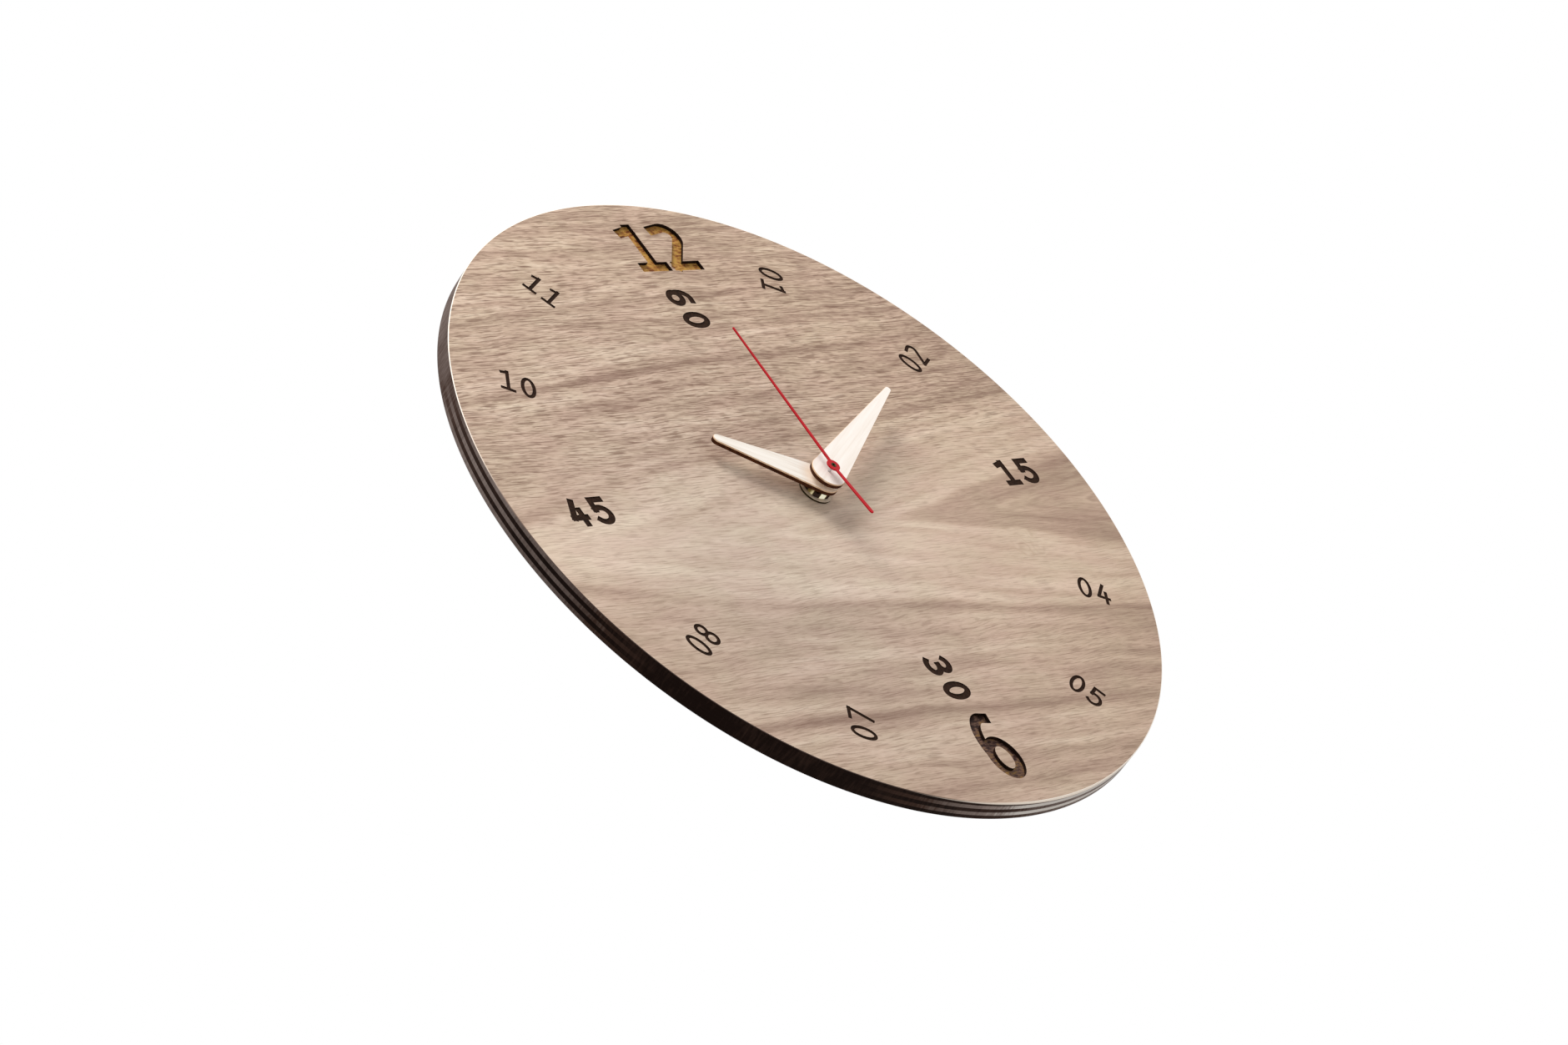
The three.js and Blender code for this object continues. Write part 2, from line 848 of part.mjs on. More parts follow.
const frontPivotTop = insideFront + pivotDepth - axialGap;
const secondPhase = 0;
const thirdPhase = meshedPhase(secondPhase, secondLeaves, centrePlace, thirdTeeth, thirdPlace);
const thirdLeafPhase = 0;
const centrePhase = meshedPhase(thirdLeafPhase, thirdLeaves, thirdPlace, centreTeeth, centrePlace);
const intermediateLeafPhase = meshedPhase(
  secondPhase, secondTeeth, centrePlace, intermediateLeaves, intermediatePlace,
);
const intermediatePhase = 0;
const rotorPhase = meshedPhase(
  intermediatePhase, intermediateTeeth, intermediatePlace, rotorLeaves, rotorPlace,
);
const cannonPhase = 0;
const motionPhase = meshedPhase(cannonPhase, cannonLeaves, centrePlace, motionTeeth, motionPlace);
const motionLeafPhase = 0;
const hourPhase = meshedPhase(motionLeafPhase, motionLeaves, motionPlace, hourTeeth, centrePlace);
const settingPhase = meshedPhase(
  motionPhase, motionTeeth, motionPlace, settingLeaves, settingPlace,
);

function rotorPinion() {
  return join(
    arbor(rotorPlace, frontPivotTop),
    toothed(
      rotorLeaves, rotorModule, leafShares, rotorPhase, rotorPlace,
      layerBottom(intermediateLayer), layerTop(intermediateLayer),
    ),
  );
}

function rotorMagnet() {
  return ring(magnetRadius, arborRadius + seatedGap, magnetBottom, magnetTop, plainSides, rotorPlace);
}

function intermediateWheel() {
  return join(
    arbor(intermediatePlace, frontPivotTop),
    toothed(
      intermediateTeeth, rotorModule, wheelToothShares, intermediatePhase, intermediatePlace,
      layerBottom(intermediateLayer), layerTop(intermediateLayer),
    ),
    toothed(
      intermediateLeaves, intermediateModule, leafShares, intermediateLeafPhase, intermediatePlace,
      layerTop(intermediateLayer), layerTop(secondLayer),
    ),
  );
}

function secondWheel() {
  const wheel = join(
    toothed(
      secondTeeth, intermediateModule, wheelToothShares, secondPhase, centrePlace,
      layerBottom(secondLayer), layerTop(secondLayer),
    ),
    toothed(
      secondLeaves, secondModule, leafShares, secondPhase, centrePlace,
      layerTop(secondLayer), layerTop(thirdLayer),
    ),
  );
  const hole = plate(
    bore(secondArborRadius + seatedGap, smallSides),
    layerBottom(secondLayer) - cutOverrun,
    layerTop(thirdLayer) + cutOverrun,
  );
  return cut(wheel, hole);
}

function secondArbor() {
  return round(secondArborRadius, bridgeBack, secondHandBottom - axialGap, smallSides);
}

function thirdWheel() {
  return join(
    arbor(thirdPlace, frontPivotTop),
    toothed(
      thirdTeeth, secondModule, wheelToothShares, thirdPhase, thirdPlace,
      layerBottom(thirdLayer), layerTop(thirdLayer),
    ),
    toothed(
      thirdLeaves, thirdModule, leafShares, thirdLeafPhase, thirdPlace,
      layerTop(thirdLayer), layerTop(centreLayer),
    ),
  );
}

function centreWheel() {
  return plate(
    gear(centreTeeth, thirdModule, wheelToothShares, centrePhase),
    layerBottom(centreLayer),
    layerTop(centreLayer),
    [bore(secondArborRadius + runningGap, smallSides)],
  );
}

function minuteCannon() {
  const tube = round(cannonRadius, layerTop(centreLayer) + axialGap, cannonTop, plainSides);
  const leaves = toothed(
    cannonLeaves, handModule, leafShares, cannonPhase, centrePlace,
    layerTop(centreLayer) + axialGap, layerTop(motionLayer),
  );
  const hole = plate(
    bore(cannonBore, smallSides),
    layerTop(centreLayer),
    cannonTop + cutOverrun,
  );
  return cut(join(tube, leaves), hole);
}

function motionWheel() {
  const wheel = join(
    toothed(
      motionTeeth, handModule, wheelToothShares, motionPhase, motionPlace,
      layerBottom(motionLayer), layerTop(motionLayer),
    ),
    toothed(
      motionLeaves, handModule, leafShares, motionLeafPhase, motionPlace,
      layerTop(motionLayer), layerTop(hourLayer),
    ),
  );
  const hole = plate(
    bore(motionPostRadius + runningGap, plainSides, motionPlace),
    layerBottom(motionLayer) - cutOverrun,
    layerTop(hourLayer) + cutOverrun,
  );
  return cut(wheel, hole);
}

function hourWheel() {
  const wheel = toothed(
    hourTeeth, handModule, wheelToothShares, hourPhase, centrePlace,
    layerBottom(hourLayer), layerTop(hourLayer),
  );
  const pipe = round(pipeRadius, layerBottom(hourLayer), pipeTop, plainSides);
  const hole = plate(
    bore(pipeBore, plainSides),
    layerBottom(hourLayer) - cutOverrun,
    pipeTop + cutOverrun,
  );
  return cut(join(wheel, pipe), hole);
}

function settingKnob() {
  const ridges = Array.from({ length: 2 * knobRidges }, (_, i) => {
    const radius = knobRadius - (i % 2) * knobRidgeDepth;
    return polar(radius, 180 * i / knobRidges).add(settingPlace);
  });
  return join(
    plate(ridges, knobRecess, knobRecess + knobThickness),
    round(knobShaftRadius, knobRecess, layerTop(motionLayer), plainSides, settingPlace),
    toothed(
      settingLeaves, handModule, leafShares, settingPhase, settingPlace,
      layerBottom(motionLayer), layerTop(motionLayer),
    ),
  );
}

// Hanger, gasket, washer and nut

function hangerPlate() {
  const backFace = hangerSetBack;
  const profile = [
    [caseFront, hangerBottomY],
    [hangerFront, hangerBottomY],
    [hangerFront, hangerStepY],
    [backFace + hangerThickness, hangerStepY],
    [backFace + hangerThickness, hangerTopY],
    [backFace, hangerTopY],
    [backFace, hangerStepY - hangerThickness],
    [caseFront, hangerStepY - hangerThickness],
  ].map(([z, y]) => new THREE.Vector2(z, y));
  const strip = acrossX(profile, -hangerWidth / 2, hangerWidth / 2);
  const outline = plate(
    roundedRectangle(
      -hangerWidth / 2, hangerBottomY, hangerWidth / 2, hangerTopY, hangerWidth / 3,
    ),
    backFace - cutOverrun,
    hangerFront + cutOverrun,
  );
  const slotRadius = nailSlotWidth / 2;
  const archCentre = new THREE.Vector2(0, nailSlotBottomY + nailSlotHeight - slotRadius);
  const slot = [
    new THREE.Vector2(-slotRadius, nailSlotBottomY),
    new THREE.Vector2(slotRadius, nailSlotBottomY),
    ...circle(slotRadius, plainSides, archCentre).slice(0, plainSides / 2 + 1),
  ];
  return cut(
    strip.intersect(outline),
    plate(slot, backFace - cutOverrun, backFace + hangerThickness + cutOverrun),
    plate(
      bore(bushRadius + seatedGap, plainSides),
      caseFront - cutOverrun,
      hangerFront + cutOverrun,
    ),
  );
}

function clampNut() {
  const corner = nutAcrossFlats / 2 / Math.cos(Math.PI / 6);
  const bottom = dialFace + washerThickness;
  const turn = THREE.MathUtils.degToRad(nutDegrees);
  const hexagon = circle(corner, 6).map((point) => point.rotateAround(centrePlace, turn));
  return plate(hexagon, bottom, nutTop, [bore(bushRadius + seatedGap, plainSides)]);
}

// Hands

// A hand pointing to 12: a round hub, straight sides that touch it and a round tip
function woodHand(length, hubRadius, tipRadius, holeRadius, top, degrees) {
  const tipY = length - tipRadius;
  const lean = Math.asin((hubRadius - tipRadius) / tipY);
  const arc = (radius, y, from, to, steps) => Array.from({ length: steps + 1 }, (_, i) => {
    const angle = from + (to - from) * i / steps;
    return new THREE.Vector2(radius * Math.cos(angle), y + radius * Math.sin(angle));
  });
  const outline = [
    ...arc(tipRadius, tipY, lean, Math.PI - lean, smallSides),
    ...arc(hubRadius, 0, Math.PI - lean, 2 * Math.PI + lean, plainSides),
  ];
  return plate(outline, top - handThickness, top, [bore(holeRadius, plainSides)])
    .rotate([0, 0, -degrees]);
}

function hourHand() {
  return woodHand(
    hourHandLength, hourHubRadius, hourTipRadius, pipeRadius + seatedGap,
    dialFace + hourHandTop, hourHandDegrees,
  );
}

// The cannon sits in a blind socket, and only the second arbor comes through its floor
function minuteHand() {
  const top = dialFace + minuteHandTop;
  const hand = woodHand(
    minuteHandLength, minuteHubRadius, minuteTipRadius, arborEyeRadius, top, minuteHandDegrees,
  );
  const socket = plate(
    bore(cannonRadius + seatedGap, plainSides),
    top - handThickness - cutOverrun,
    top - minuteHandFloor,
  );
  return cut(hand, socket);
}

// The second hand is sheet, with both arms bent a little to the viewer
function secondHand() {
  const hubEdge = secondHubRadius / 2;
  const arm = (length, rootWidth, endWidth, rise, side) => {
    const end = side * length;
    const start = side * hubEdge;
    const bottom = secondHandBottom;
    const points = [
      [-rootWidth / 2, start, bottom], [rootWidth / 2, start, bottom],
      [-endWidth / 2, end, bottom + rise], [endWidth / 2, end, bottom + rise],
    ];
    const positions = [
      ...points.flat(),
      ...points.flatMap(([x, y, z]) => [x, y, z + secondHandThickness]),
    ];
    const faces = [
      0, 2, 1, 1, 2, 3, 4, 5, 6, 5, 7, 6, 0, 1, 4, 1, 5, 4,
      2, 6, 3, 3, 6, 7, 0, 4, 2, 2, 4, 6, 1, 3, 5, 3, 7, 5,
    ];
    const outward = side > 0
      ? faces
      : faces.flatMap((_, i) => (i % 3 ? [] : [faces[i], faces[i + 2], faces[i + 1]]));
    return new wasm.Manifold(new wasm.Mesh({
      numProp: 3,
      vertProperties: new Float32Array(positions),
      triVerts: new Uint32Array(outward),
    }));
  };
  return join(
    round(secondHubRadius, secondHandBottom, secondHandBottom + secondHandThickness),
    arm(secondHandLength, secondRootWidth, secondTipWidth, secondTipRise, 1),
    arm(secondTailLength, secondRootWidth, secondTailWidth, secondTailRise, -1),
  );
}

function secondCollet() {
  return ring(
    colletRadius, secondArborRadius + seatedGap,
    secondHandBottom - colletLength, secondHandBottom, plainSides,
  );
}

// The clock

const clock = new THREE.Group();

// Stands a solid up: dial coordinates (x, y, z) become (x, -z, y)
function addPiece(name, solid, material) {
  const mesh = solid.getMesh();
  const geometry = new THREE.BufferGeometry();
  const positions = new Float32Array(mesh.vertProperties.length);
  for (let i = 0; i < positions.length; i += 3) {
    positions[i] = mesh.vertProperties[i];
    positions[i + 1] = -mesh.vertProperties[i + 2];
    positions[i + 2] = mesh.vertProperties[i + 1];
  }
  geometry.setAttribute('position', new THREE.BufferAttribute(positions, 3));
  geometry.setIndex([...mesh.triVerts]);
  geometry.computeVertexNormals();
  const piece = new THREE.Mesh(geometry, material);
  piece.name = name;
  clock.add(piece);
}

plyNames.forEach((name, index) => {
  const isFace = index === plyCount - 1;
  const woods = [edgeWood, crossWood];
  addPiece(name, ply(index), finish(isFace ? walnut : woods[index % 2], 0.6, 0));
});

addPiece('movement_case', movementCase(), finish(blackPlastic, 0.5, 0));
addPiece('rear_cover', rearCover(), finish(blackPlastic, 0.5, 0));
addPiece('wheel_bridge', wheelBridge(), finish(whitePlastic, 0.5, 0));
addPiece('threaded_bush', threadedBush(), finish(brassColour, 0.3, 1));
addPiece('hanger_plate', hangerPlate(), finish(steelColour, 0.35, 1));
addPiece(
  'rubber_gasket',
  ring(gasketRadius, bushRadius + seatedGap, hangerFront, boardBack),
  finish(rubberColour, 0.8, 0),
);
addPiece(
  'dial_washer',
  ring(washerRadius, bushRadius + seatedGap, dialFace, dialFace + washerThickness),
  finish(brassColour, 0.3, 1),
);
addPiece('clamp_nut', clampNut(), finish(brassColour, 0.25, 1));
addPiece('dry_cell', dryCell(), finish(cellColour, 0.4, 0.2));
addPiece('positive_contact', contactStrip(1), finish(steelColour, 0.35, 1));
addPiece('negative_contact', contactStrip(-1), finish(steelColour, 0.35, 1));
addPiece('circuit_board', circuitBoard(), finish(boardGreen, 0.5, 0));
addPiece('quartz_crystal', quartzCrystal(), finish(steelColour, 0.3, 1));
addPiece('stator_core', statorCore(), finish(steelColour, 0.45, 1));
addPiece('coil_bobbin', coilBobbin(), finish(whitePlastic, 0.5, 0));
addPiece('coil_winding', coilWinding(), finish(copperColour, 0.4, 0.6));
addPiece('rotor_magnet', rotorMagnet(), finish(magnetColour, 0.6, 0.3));
addPiece('rotor_pinion', rotorPinion(), finish(whitePlastic, 0.5, 0));
addPiece('intermediate_wheel', intermediateWheel(), finish(whitePlastic, 0.5, 0));
addPiece('second_wheel', secondWheel(), finish(clearPlastic, 0.4, 0));
addPiece('second_arbor', secondArbor(), finish(steelColour, 0.25, 1));
addPiece('third_wheel', thirdWheel(), finish(whitePlastic, 0.5, 0));
addPiece('centre_wheel', centreWheel(), finish(clearPlastic, 0.4, 0));
addPiece('minute_cannon', minuteCannon(), finish(brassColour, 0.3, 1));
addPiece('motion_wheel', motionWheel(), finish(whitePlastic, 0.5, 0));
addPiece('hour_wheel', hourWheel(), finish(blackPlastic, 0.5, 0));
addPiece('setting_knob', settingKnob(), finish(whitePlastic, 0.5, 0));
addPiece('hour_hand', hourHand(), finish(handWood, 0.6, 0));
addPiece('minute_hand', minuteHand(), finish(handWood, 0.6, 0));
addPiece('second_hand', secondHand(), finish(handRed, 0.35, 0));
addPiece('second_collet', secondCollet(), finish(brassColour, 0.3, 1));

export default clock;
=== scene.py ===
"""A wooden wall clock: a laser-cut plywood dial, wooden hands and a battery movement behind it.

Shapes are drawn in dial coordinates in millimetres: x to 3 o'clock, y to 12 o'clock and z from the
wall to the viewer. They are stood up at the end, so that +Z is 12 o'clock and the dial faces -Y.
"""

import json
import math

import bmesh
import bpy
import numpy as np
from mathutils import Matrix


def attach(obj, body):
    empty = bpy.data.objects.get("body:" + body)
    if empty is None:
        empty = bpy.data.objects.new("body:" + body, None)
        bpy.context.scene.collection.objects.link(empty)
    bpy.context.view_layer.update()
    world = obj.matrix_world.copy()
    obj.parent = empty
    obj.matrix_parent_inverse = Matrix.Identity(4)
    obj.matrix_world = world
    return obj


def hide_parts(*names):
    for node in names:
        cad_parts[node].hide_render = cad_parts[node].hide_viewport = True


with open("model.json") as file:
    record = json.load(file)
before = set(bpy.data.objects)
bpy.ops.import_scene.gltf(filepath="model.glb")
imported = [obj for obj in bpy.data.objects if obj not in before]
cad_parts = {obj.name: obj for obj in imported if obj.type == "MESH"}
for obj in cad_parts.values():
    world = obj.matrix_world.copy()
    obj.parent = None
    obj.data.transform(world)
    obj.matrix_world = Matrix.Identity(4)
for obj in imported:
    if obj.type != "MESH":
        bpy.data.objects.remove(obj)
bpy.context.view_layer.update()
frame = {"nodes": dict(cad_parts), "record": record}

# Sizes in millimetres, the same as the solids', but for the minute hand's eye, which is drawn tighter
DIAL_RADIUS = 150.0
BOARD_BACK = 18.0
PLY_THICKNESS = 1.67
PLY_NODES = ("back_ply", "rear_cross_ply", "core_ply", "front_cross_ply", "face_ply")
DIAL_FACE = BOARD_BACK + PLY_THICKNESS * len(PLY_NODES)
BOARD_HOLE = 4.25
FACE_ARRIS = 0.3
POCKET_DEPTH = 1.45
ENGRAVING_DEPTH = 0.3
BUSH_RADIUS = 4.0
BUSH_BORE = 2.48
SPIGOT_RADIUS = 3.4
CASE_FRONT = 16.0
CASE_INSIDE = 14.6
HANGER_FRONT = 17.0
GASKET_RADIUS = 11.0
WASHER_RADIUS = 6.7
WASHER_THICKNESS = 0.8
NUT_THICKNESS = 2.6
NUT_ACROSS_FLATS = 10.0
NUT_TURN = math.radians(-17.0)
BUSH_END = DIAL_FACE + WASHER_THICKNESS + NUT_THICKNESS + 0.5
HAND_THICKNESS = 2.0
HOUR_HAND = {"length": 46.0, "hub": 6.7, "tip": 2.0, "hole": 2.45, "top": 6.2, "bearing": 302.5}
MINUTE_HAND = {"length": 75.3, "hub": 7.0, "tip": 1.3, "hole": 0.56, "top": 10.2, "bearing": 59.4}
SECOND_TOP = 13.5
SECOND_THICKNESS = 0.5
SECOND_HUB = 2.75
SECOND_ARM = {"length": 69.4, "root_width": 1.4, "end_width": 0.9, "rise": 1.45}
SECOND_TAIL = {"length": 25.0, "root_width": 1.4, "end_width": 1.7, "rise": 1.2}
CELL_RADIUS = 7.0
CELL_CENTRE = (-19.3, 7.3)

# The numbers in millimetres, and how far out the hours stand
SUNK_12 = {"width": 15.7, "height": 25.2, "stroke": 4.8}
SUNK_6 = {"width": 15.8, "height": 30.4, "stroke": 4.6}
HOUR_DIGITS = {"width": 6.2, "height": 11.0, "stroke": 1.5, "gap": 2.2}
QUARTER_DIGITS = {"width": 8.6, "height": 13.2, "stroke": 2.7, "gap": 3.2}
HOUR_RING = 122.7

# The veneer's figure in millimetres. The grain bends twice: a noise of this length and width moves it
# up by as much as the third number. A growth ring of radius r shows where r^2 is
# w^2 + TIP_PULL w^2 / (w^2 + TIP_HEIGHT^2) + ARCH_WIDTH (ARCH_HEART - x), with w the height over the
# arches' axis; the middle term draws their tips out to a point.
GRAIN_BENDS = ((180.0, 45.0, 13.0), (34.0, 16.0, 3.0))
ARCH_AXIS = -16.0
ARCH_WIDTH = 11.5
ARCH_HEART = 160.0
TIP_PULL = 950.0
TIP_HEIGHT = 8.0
KNOT = (90.0, -DIAL_FACE, -35.0)

# How the sheet grows paler along each axis, in shares of its range of tones per millimetre, the place
# far from which it darkens, and the place that is bluer than the wood far from it
PALER = (-0.00075, 0.0, -0.0003)
BRIGHT_PLACE = (45.0, -DIAL_FACE, 45.0)
BLUER_PLACE = (-55.0, -DIAL_FACE, -45.0)

# Each year of growth: the radius of the dark line that ends it, the tone of its wood and of that line
RING_SPAN = 160.0
FIRST_RING = 18.0
OUTER_RINGS = 67.0
YEAR_EDGE = 2.5
YEARS = (
    (38.0, "#aaaaaa", "#b0b0b0"),
    (67.0, "#dadada", "#808080"),
    (96.5, "#b8b8b8", "#7c7c7c"),
    (111.5, "#c4c4c4", "#a0a0a0"),
    (127.0, "#b8b8b8", "#9c9c9c"),
    (143.0, "#bebebe", "#a8a8a8"),
    (158.0, "#bababa", "#acacac"),
)

# Where the rim is burnt deepest, between 7 and 8 o'clock, and where painted light from below makes
# it palest, near 5 o'clock, as directions whose dot product with a place on the rim is 1
DEEPEST_BURN = (-0.82 / DIAL_RADIUS, 0.0, -0.57 / DIAL_RADIUS)
LIT_LOWER_RIGHT = (0.5 / DIAL_RADIUS, 0.0, -0.87 / DIAL_RADIUS)


# Meshes

def stood_up(points):
    """Dial coordinates in mm to the clock's own in metres: (x, y, z) goes to (x, -z, y)."""
    points = np.asarray(points, float)
    return np.stack([points[..., 0], -points[..., 2], points[..., 1]], -1) / 1000.0


def loft(rings, closed=False):
    """A surface through rings of points, each ring wrapped round on itself.

    Point j of ring i joins point j of ring i + 1. A closed loft joins its last ring to its first, and
    an open one has a flat face over each end. Gives the points, the faces in blocks that have the same
    number of corners, and each face's level.
    """
    levels, count, _ = rings.shape
    rows = np.arange(levels if closed else levels - 1)[:, None]
    column = np.arange(count)[None, :]
    beside = (column + 1) % count
    low, high = rows * count, (rows + 1) % levels * count
    quads = np.stack([low + column, low + beside, high + beside, high + column], -1)
    blocks = [quads.reshape(-1, 4)]
    level = np.repeat(rows.ravel(), count)
    if not closed:
        blocks += [column[:, ::-1], column + (levels - 1) * count]
        level = np.append(level, [-1, levels - 1])
    return rings.reshape(-1, 3), blocks, level


def turned(profile, sides, centre=(0.0, 0.0), along_x=False):
    """A profile of (radius, height) turned about a line: u = r cos t and v = r sin t at height h."""
    turn = np.arange(sides) * 2 * np.pi / sides
    radius = np.asarray(profile, float)[:, 0, None]
    height = np.asarray(profile, float)[:, 1, None]
    across = centre[0] + radius * np.cos(turn)
    up = centre[1] + radius * np.sin(turn)
    height = np.broadcast_to(height, across.shape)
    return np.stack([height, across, up] if along_x else [across, up, height], -1)


def spun(points, degrees):
    """Points of the dial's plane turned anticlockwise about its middle."""
    turn = math.radians(degrees)
    return points @ np.array([[math.cos(turn), math.sin(turn)], [-math.sin(turn), math.cos(turn)]])


def eased(corners, reach, steps=4):
    """A closed loop whose corners are rounded.

    Each corner P becomes the curve (1-t)^2 A + 2t(1-t) P + t^2 B, where A and B lie on its two sides
    at the given reach.
    """
    corner = np.asarray(corners, float)
    reach = np.broadcast_to(reach, len(corner))[:, None]
    back = np.roll(corner, 1, 0) - corner
    on = np.roll(corner, -1, 0) - corner
    start = corner + back / np.linalg.norm(back, axis=1, keepdims=True) * reach
    end = corner + on / np.linalg.norm(on, axis=1, keepdims=True) * reach
    t = np.linspace(0, 1, steps + 1)[:, None, None]
    curve = (1 - t) ** 2 * start + 2 * t * (1 - t) * corner + t ** 2 * end
    return curve.transpose(1, 0, 2).reshape(-1, corner.shape[1])


def ring_section(inner, outer, bottom, top, reach):
    """The profile of a flat ring, going up on its outside."""
    return eased([(inner, bottom), (outer, bottom), (outer, top), (inner, top)], reach)


def merged(parts):
    """Several surfaces as one: the points one after another, with the faces counted on."""
    all_blocks, first = [], 0
    for points, blocks, _ in parts:
        all_blocks += [block + first for block in blocks]
        first += len(points)
    points, _, levels = zip(*parts)
    return np.concatenate(points), all_blocks, np.concatenate(levels)


def new_piece(name, surface, materials, level_material=None, sharp=35):
    """Puts a surface into a mesh object; a table gives some levels of the loft another material than
    the first."""
    points, blocks, levels = surface
    faces = []
    for block in blocks:
        faces += block.tolist()
    mesh = bpy.data.meshes.new(name)
    mesh.from_pydata(stood_up(points).tolist(), [], faces)
    for material in materials:
        mesh.materials.append(material)
    if level_material:
        slots = np.zeros(len(levels), int)
        for level, slot in level_material.items():
            slots[levels == level] = slot
        mesh.polygons.foreach_set("material_index", slots)
    smooth(mesh, sharp)
    piece = bpy.data.objects.new(name, mesh)
    bpy.context.scene.collection.objects.link(piece)
    return piece


def smooth(mesh, sharp):
    """Smooth shading, but for edges that turn by more than the given degrees."""
    mesh.polygons.foreach_set("use_smooth", np.ones(len(mesh.polygons), bool))
    mesh.set_sharp_from_angle(angle=math.radians(sharp))
    mesh.update()


def stands_for(piece, node):
    """The piece takes a solid's place and rides on its body."""
    bodies = frame["record"]["behaviour"]["bodies"]
    body = next(name for name, nodes in bodies.items() if node in nodes)
    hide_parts(node)
    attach(piece, body)


def apply_modifiers(piece):
    """Bakes a piece's modifiers into its mesh."""
    graph = bpy.context.evaluated_depsgraph_get()
    mesh = bpy.data.meshes.new_from_object(piece.evaluated_get(graph))
    piece.modifiers.clear()
    piece.data = mesh


# Materials

def to_linear(colour):
    """An sRGB hex colour as the linear numbers that shaders take."""
    shares = [int(colour[i:i + 2], 16) / 255 for i in (1, 3, 5)]
    return tuple(s / 12.92 if s <= 0.04045 else ((s + 0.055) / 1.055) ** 2.4 for s in shares) + (1.0,)


# The kinds of node that most materials use
MATH = "ShaderNodeMath"
VECTOR_MATH = "ShaderNodeVectorMath"
MAP_RANGE = "ShaderNodeMapRange"
SEPARATE = "ShaderNodeSeparateXYZ"
NOISE = "ShaderNodeTexNoise"
RAMP = "ShaderNodeValToRGB"


def add(tree, kind, inputs=(), out=0, stops=None, into=None, **settings):
    """Adds a node, sets it up and gives one of its outputs, which can be linked into a socket too.

    The inputs are links or values, as a list in the sockets' order or by the sockets' names or numbers.
    Stops fill a colour ramp.
    """
    node = tree.nodes.new(kind)
    for key, value in settings.items():
        setattr(node, key, value)
    for key, value in inputs.items() if isinstance(inputs, dict) else enumerate(inputs):
        if isinstance(value, bpy.types.NodeSocket):
            tree.links.new(value, node.inputs[key])
        else:
            node.inputs[key].default_value = value
    if stops:
        elements = node.color_ramp.elements
        while len(elements) < len(stops):
            elements.new(0.5)
        for element, (place, colour) in zip(elements, stops):
            element.position = place
            element.color = to_linear(colour)
    if into:
        tree.links.new(node.outputs[out], into)
    return node.outputs[out]


def finish_of(name, roughness, metallic=0.0, ior=1.5, specular=0.5, coat=0.0):
    """A new material; returns it, its tree and its Object coordinates in millimetres."""
    material = bpy.data.materials.new(name)
    material.use_nodes = True
    tree = material.node_tree
    constants = {
        "Roughness": roughness, "Metallic": metallic, "Specular IOR Level": specular,
        "Coat Weight": coat, "Coat Roughness": 0.1,
    }
    if not metallic:
        constants["IOR"] = ior
    for socket, value in constants.items():
        tree.nodes["Principled BSDF"].inputs[socket].default_value = value
    place = add(tree, "ShaderNodeTexCoord", out="Object")
    place = add(tree, VECTOR_MATH, [place, (1000.0, 1000.0, 1000.0)], operation="MULTIPLY")
    return material, tree, place


def dressed(material, colour, height, relief_mm):
    """The material with its colour and a relief, whose height of 1 stands for so many millimetres."""
    tree = material.node_tree
    shader = tree.nodes["Principled BSDF"]
    tree.links.new(colour, shader.inputs["Base Color"])
    relief = {"Height": height, "Distance": relief_mm / 1000.0}
    add(tree, "ShaderNodeBump", relief, into=shader.inputs["Normal"])
    return material


def grains(tree, place, size, detail=2.0, roughness=0.5):
    """Noise whose grains have a size in millimetres along each axis; along an infinite one they never
    change."""
    scaled = add(tree, "ShaderNodeMapping", {0: place, "Scale": [1 / length for length in size]})
    return add(tree, NOISE, {"Vector": scaled, "Scale": 1.0, "Detail": detail, "Roughness": roughness})


def growth_ring_stops():
    """The tones from the heart outwards: a year's wood keeps its tone from just past the last year's
    dark line to just before its own."""
    stops, start = [], FIRST_RING
    for end, wood, line in YEARS:
        stops += [(start + YEAR_EDGE, wood), (end - YEAR_EDGE, wood), (end, line)]
        start = end
    return [(radius / RING_SPAN, grey) for radius, grey in stops]


def growth_rings(tree, place, along, over):
    """The radius of the growth ring that shows at a place, which lies so far along the grain and over
    the arches' axis."""
    square = add(tree, MATH, [over, over], operation="MULTIPLY")
    wide = add(tree, MATH, [square, TIP_HEIGHT ** 2], operation="ADD")
    point = add(tree, MATH, [square, wide], operation="DIVIDE")
    ring = add(tree, MATH, [point, TIP_PULL, square], operation="MULTIPLY_ADD")
    ring = add(tree, MATH, [along, -ARCH_WIDTH, ring], operation="MULTIPLY_ADD")
    ring = add(tree, MATH, [ring, ARCH_WIDTH * ARCH_HEART], operation="ADD")
    ring = add(tree, MATH, [ring, 1.0], operation="MAXIMUM")
    ring = add(tree, MATH, [ring], operation="SQRT")

    # Below the axis the outer rings lie a third wider apart
    outer = add(tree, MATH, [ring, OUTER_RINGS], operation="SUBTRACT")
    outer = add(tree, MATH, [outer, 0.0], operation="MAXIMUM")
    below = add(tree, MATH, [over, 0.0], operation="LESS_THAN")
    below = add(tree, MATH, [below, -0.25], operation="MULTIPLY")
    ring = add(tree, MATH, [outer, below, ring], operation="MULTIPLY_ADD")

    # A small knot at the right curls the rings
    knot = add(tree, VECTOR_MATH, [place, KNOT], "Value", operation="DISTANCE")
    reach = add(tree, MAP_RANGE, {
        "Value": knot, "From Min": 2.0, "From Max": 13.0, "To Min": 16.0, "To Max": 0.0,
    }, interpolation_type="SMOOTHERSTEP")
    curl = add(tree, NOISE, {"Vector": place, "Scale": 0.16, "Detail": 1.0})
    curl = add(tree, MATH, [curl, 0.5], operation="SUBTRACT")
    return add(tree, MATH, [curl, reach, ring], operation="MULTIPLY_ADD")


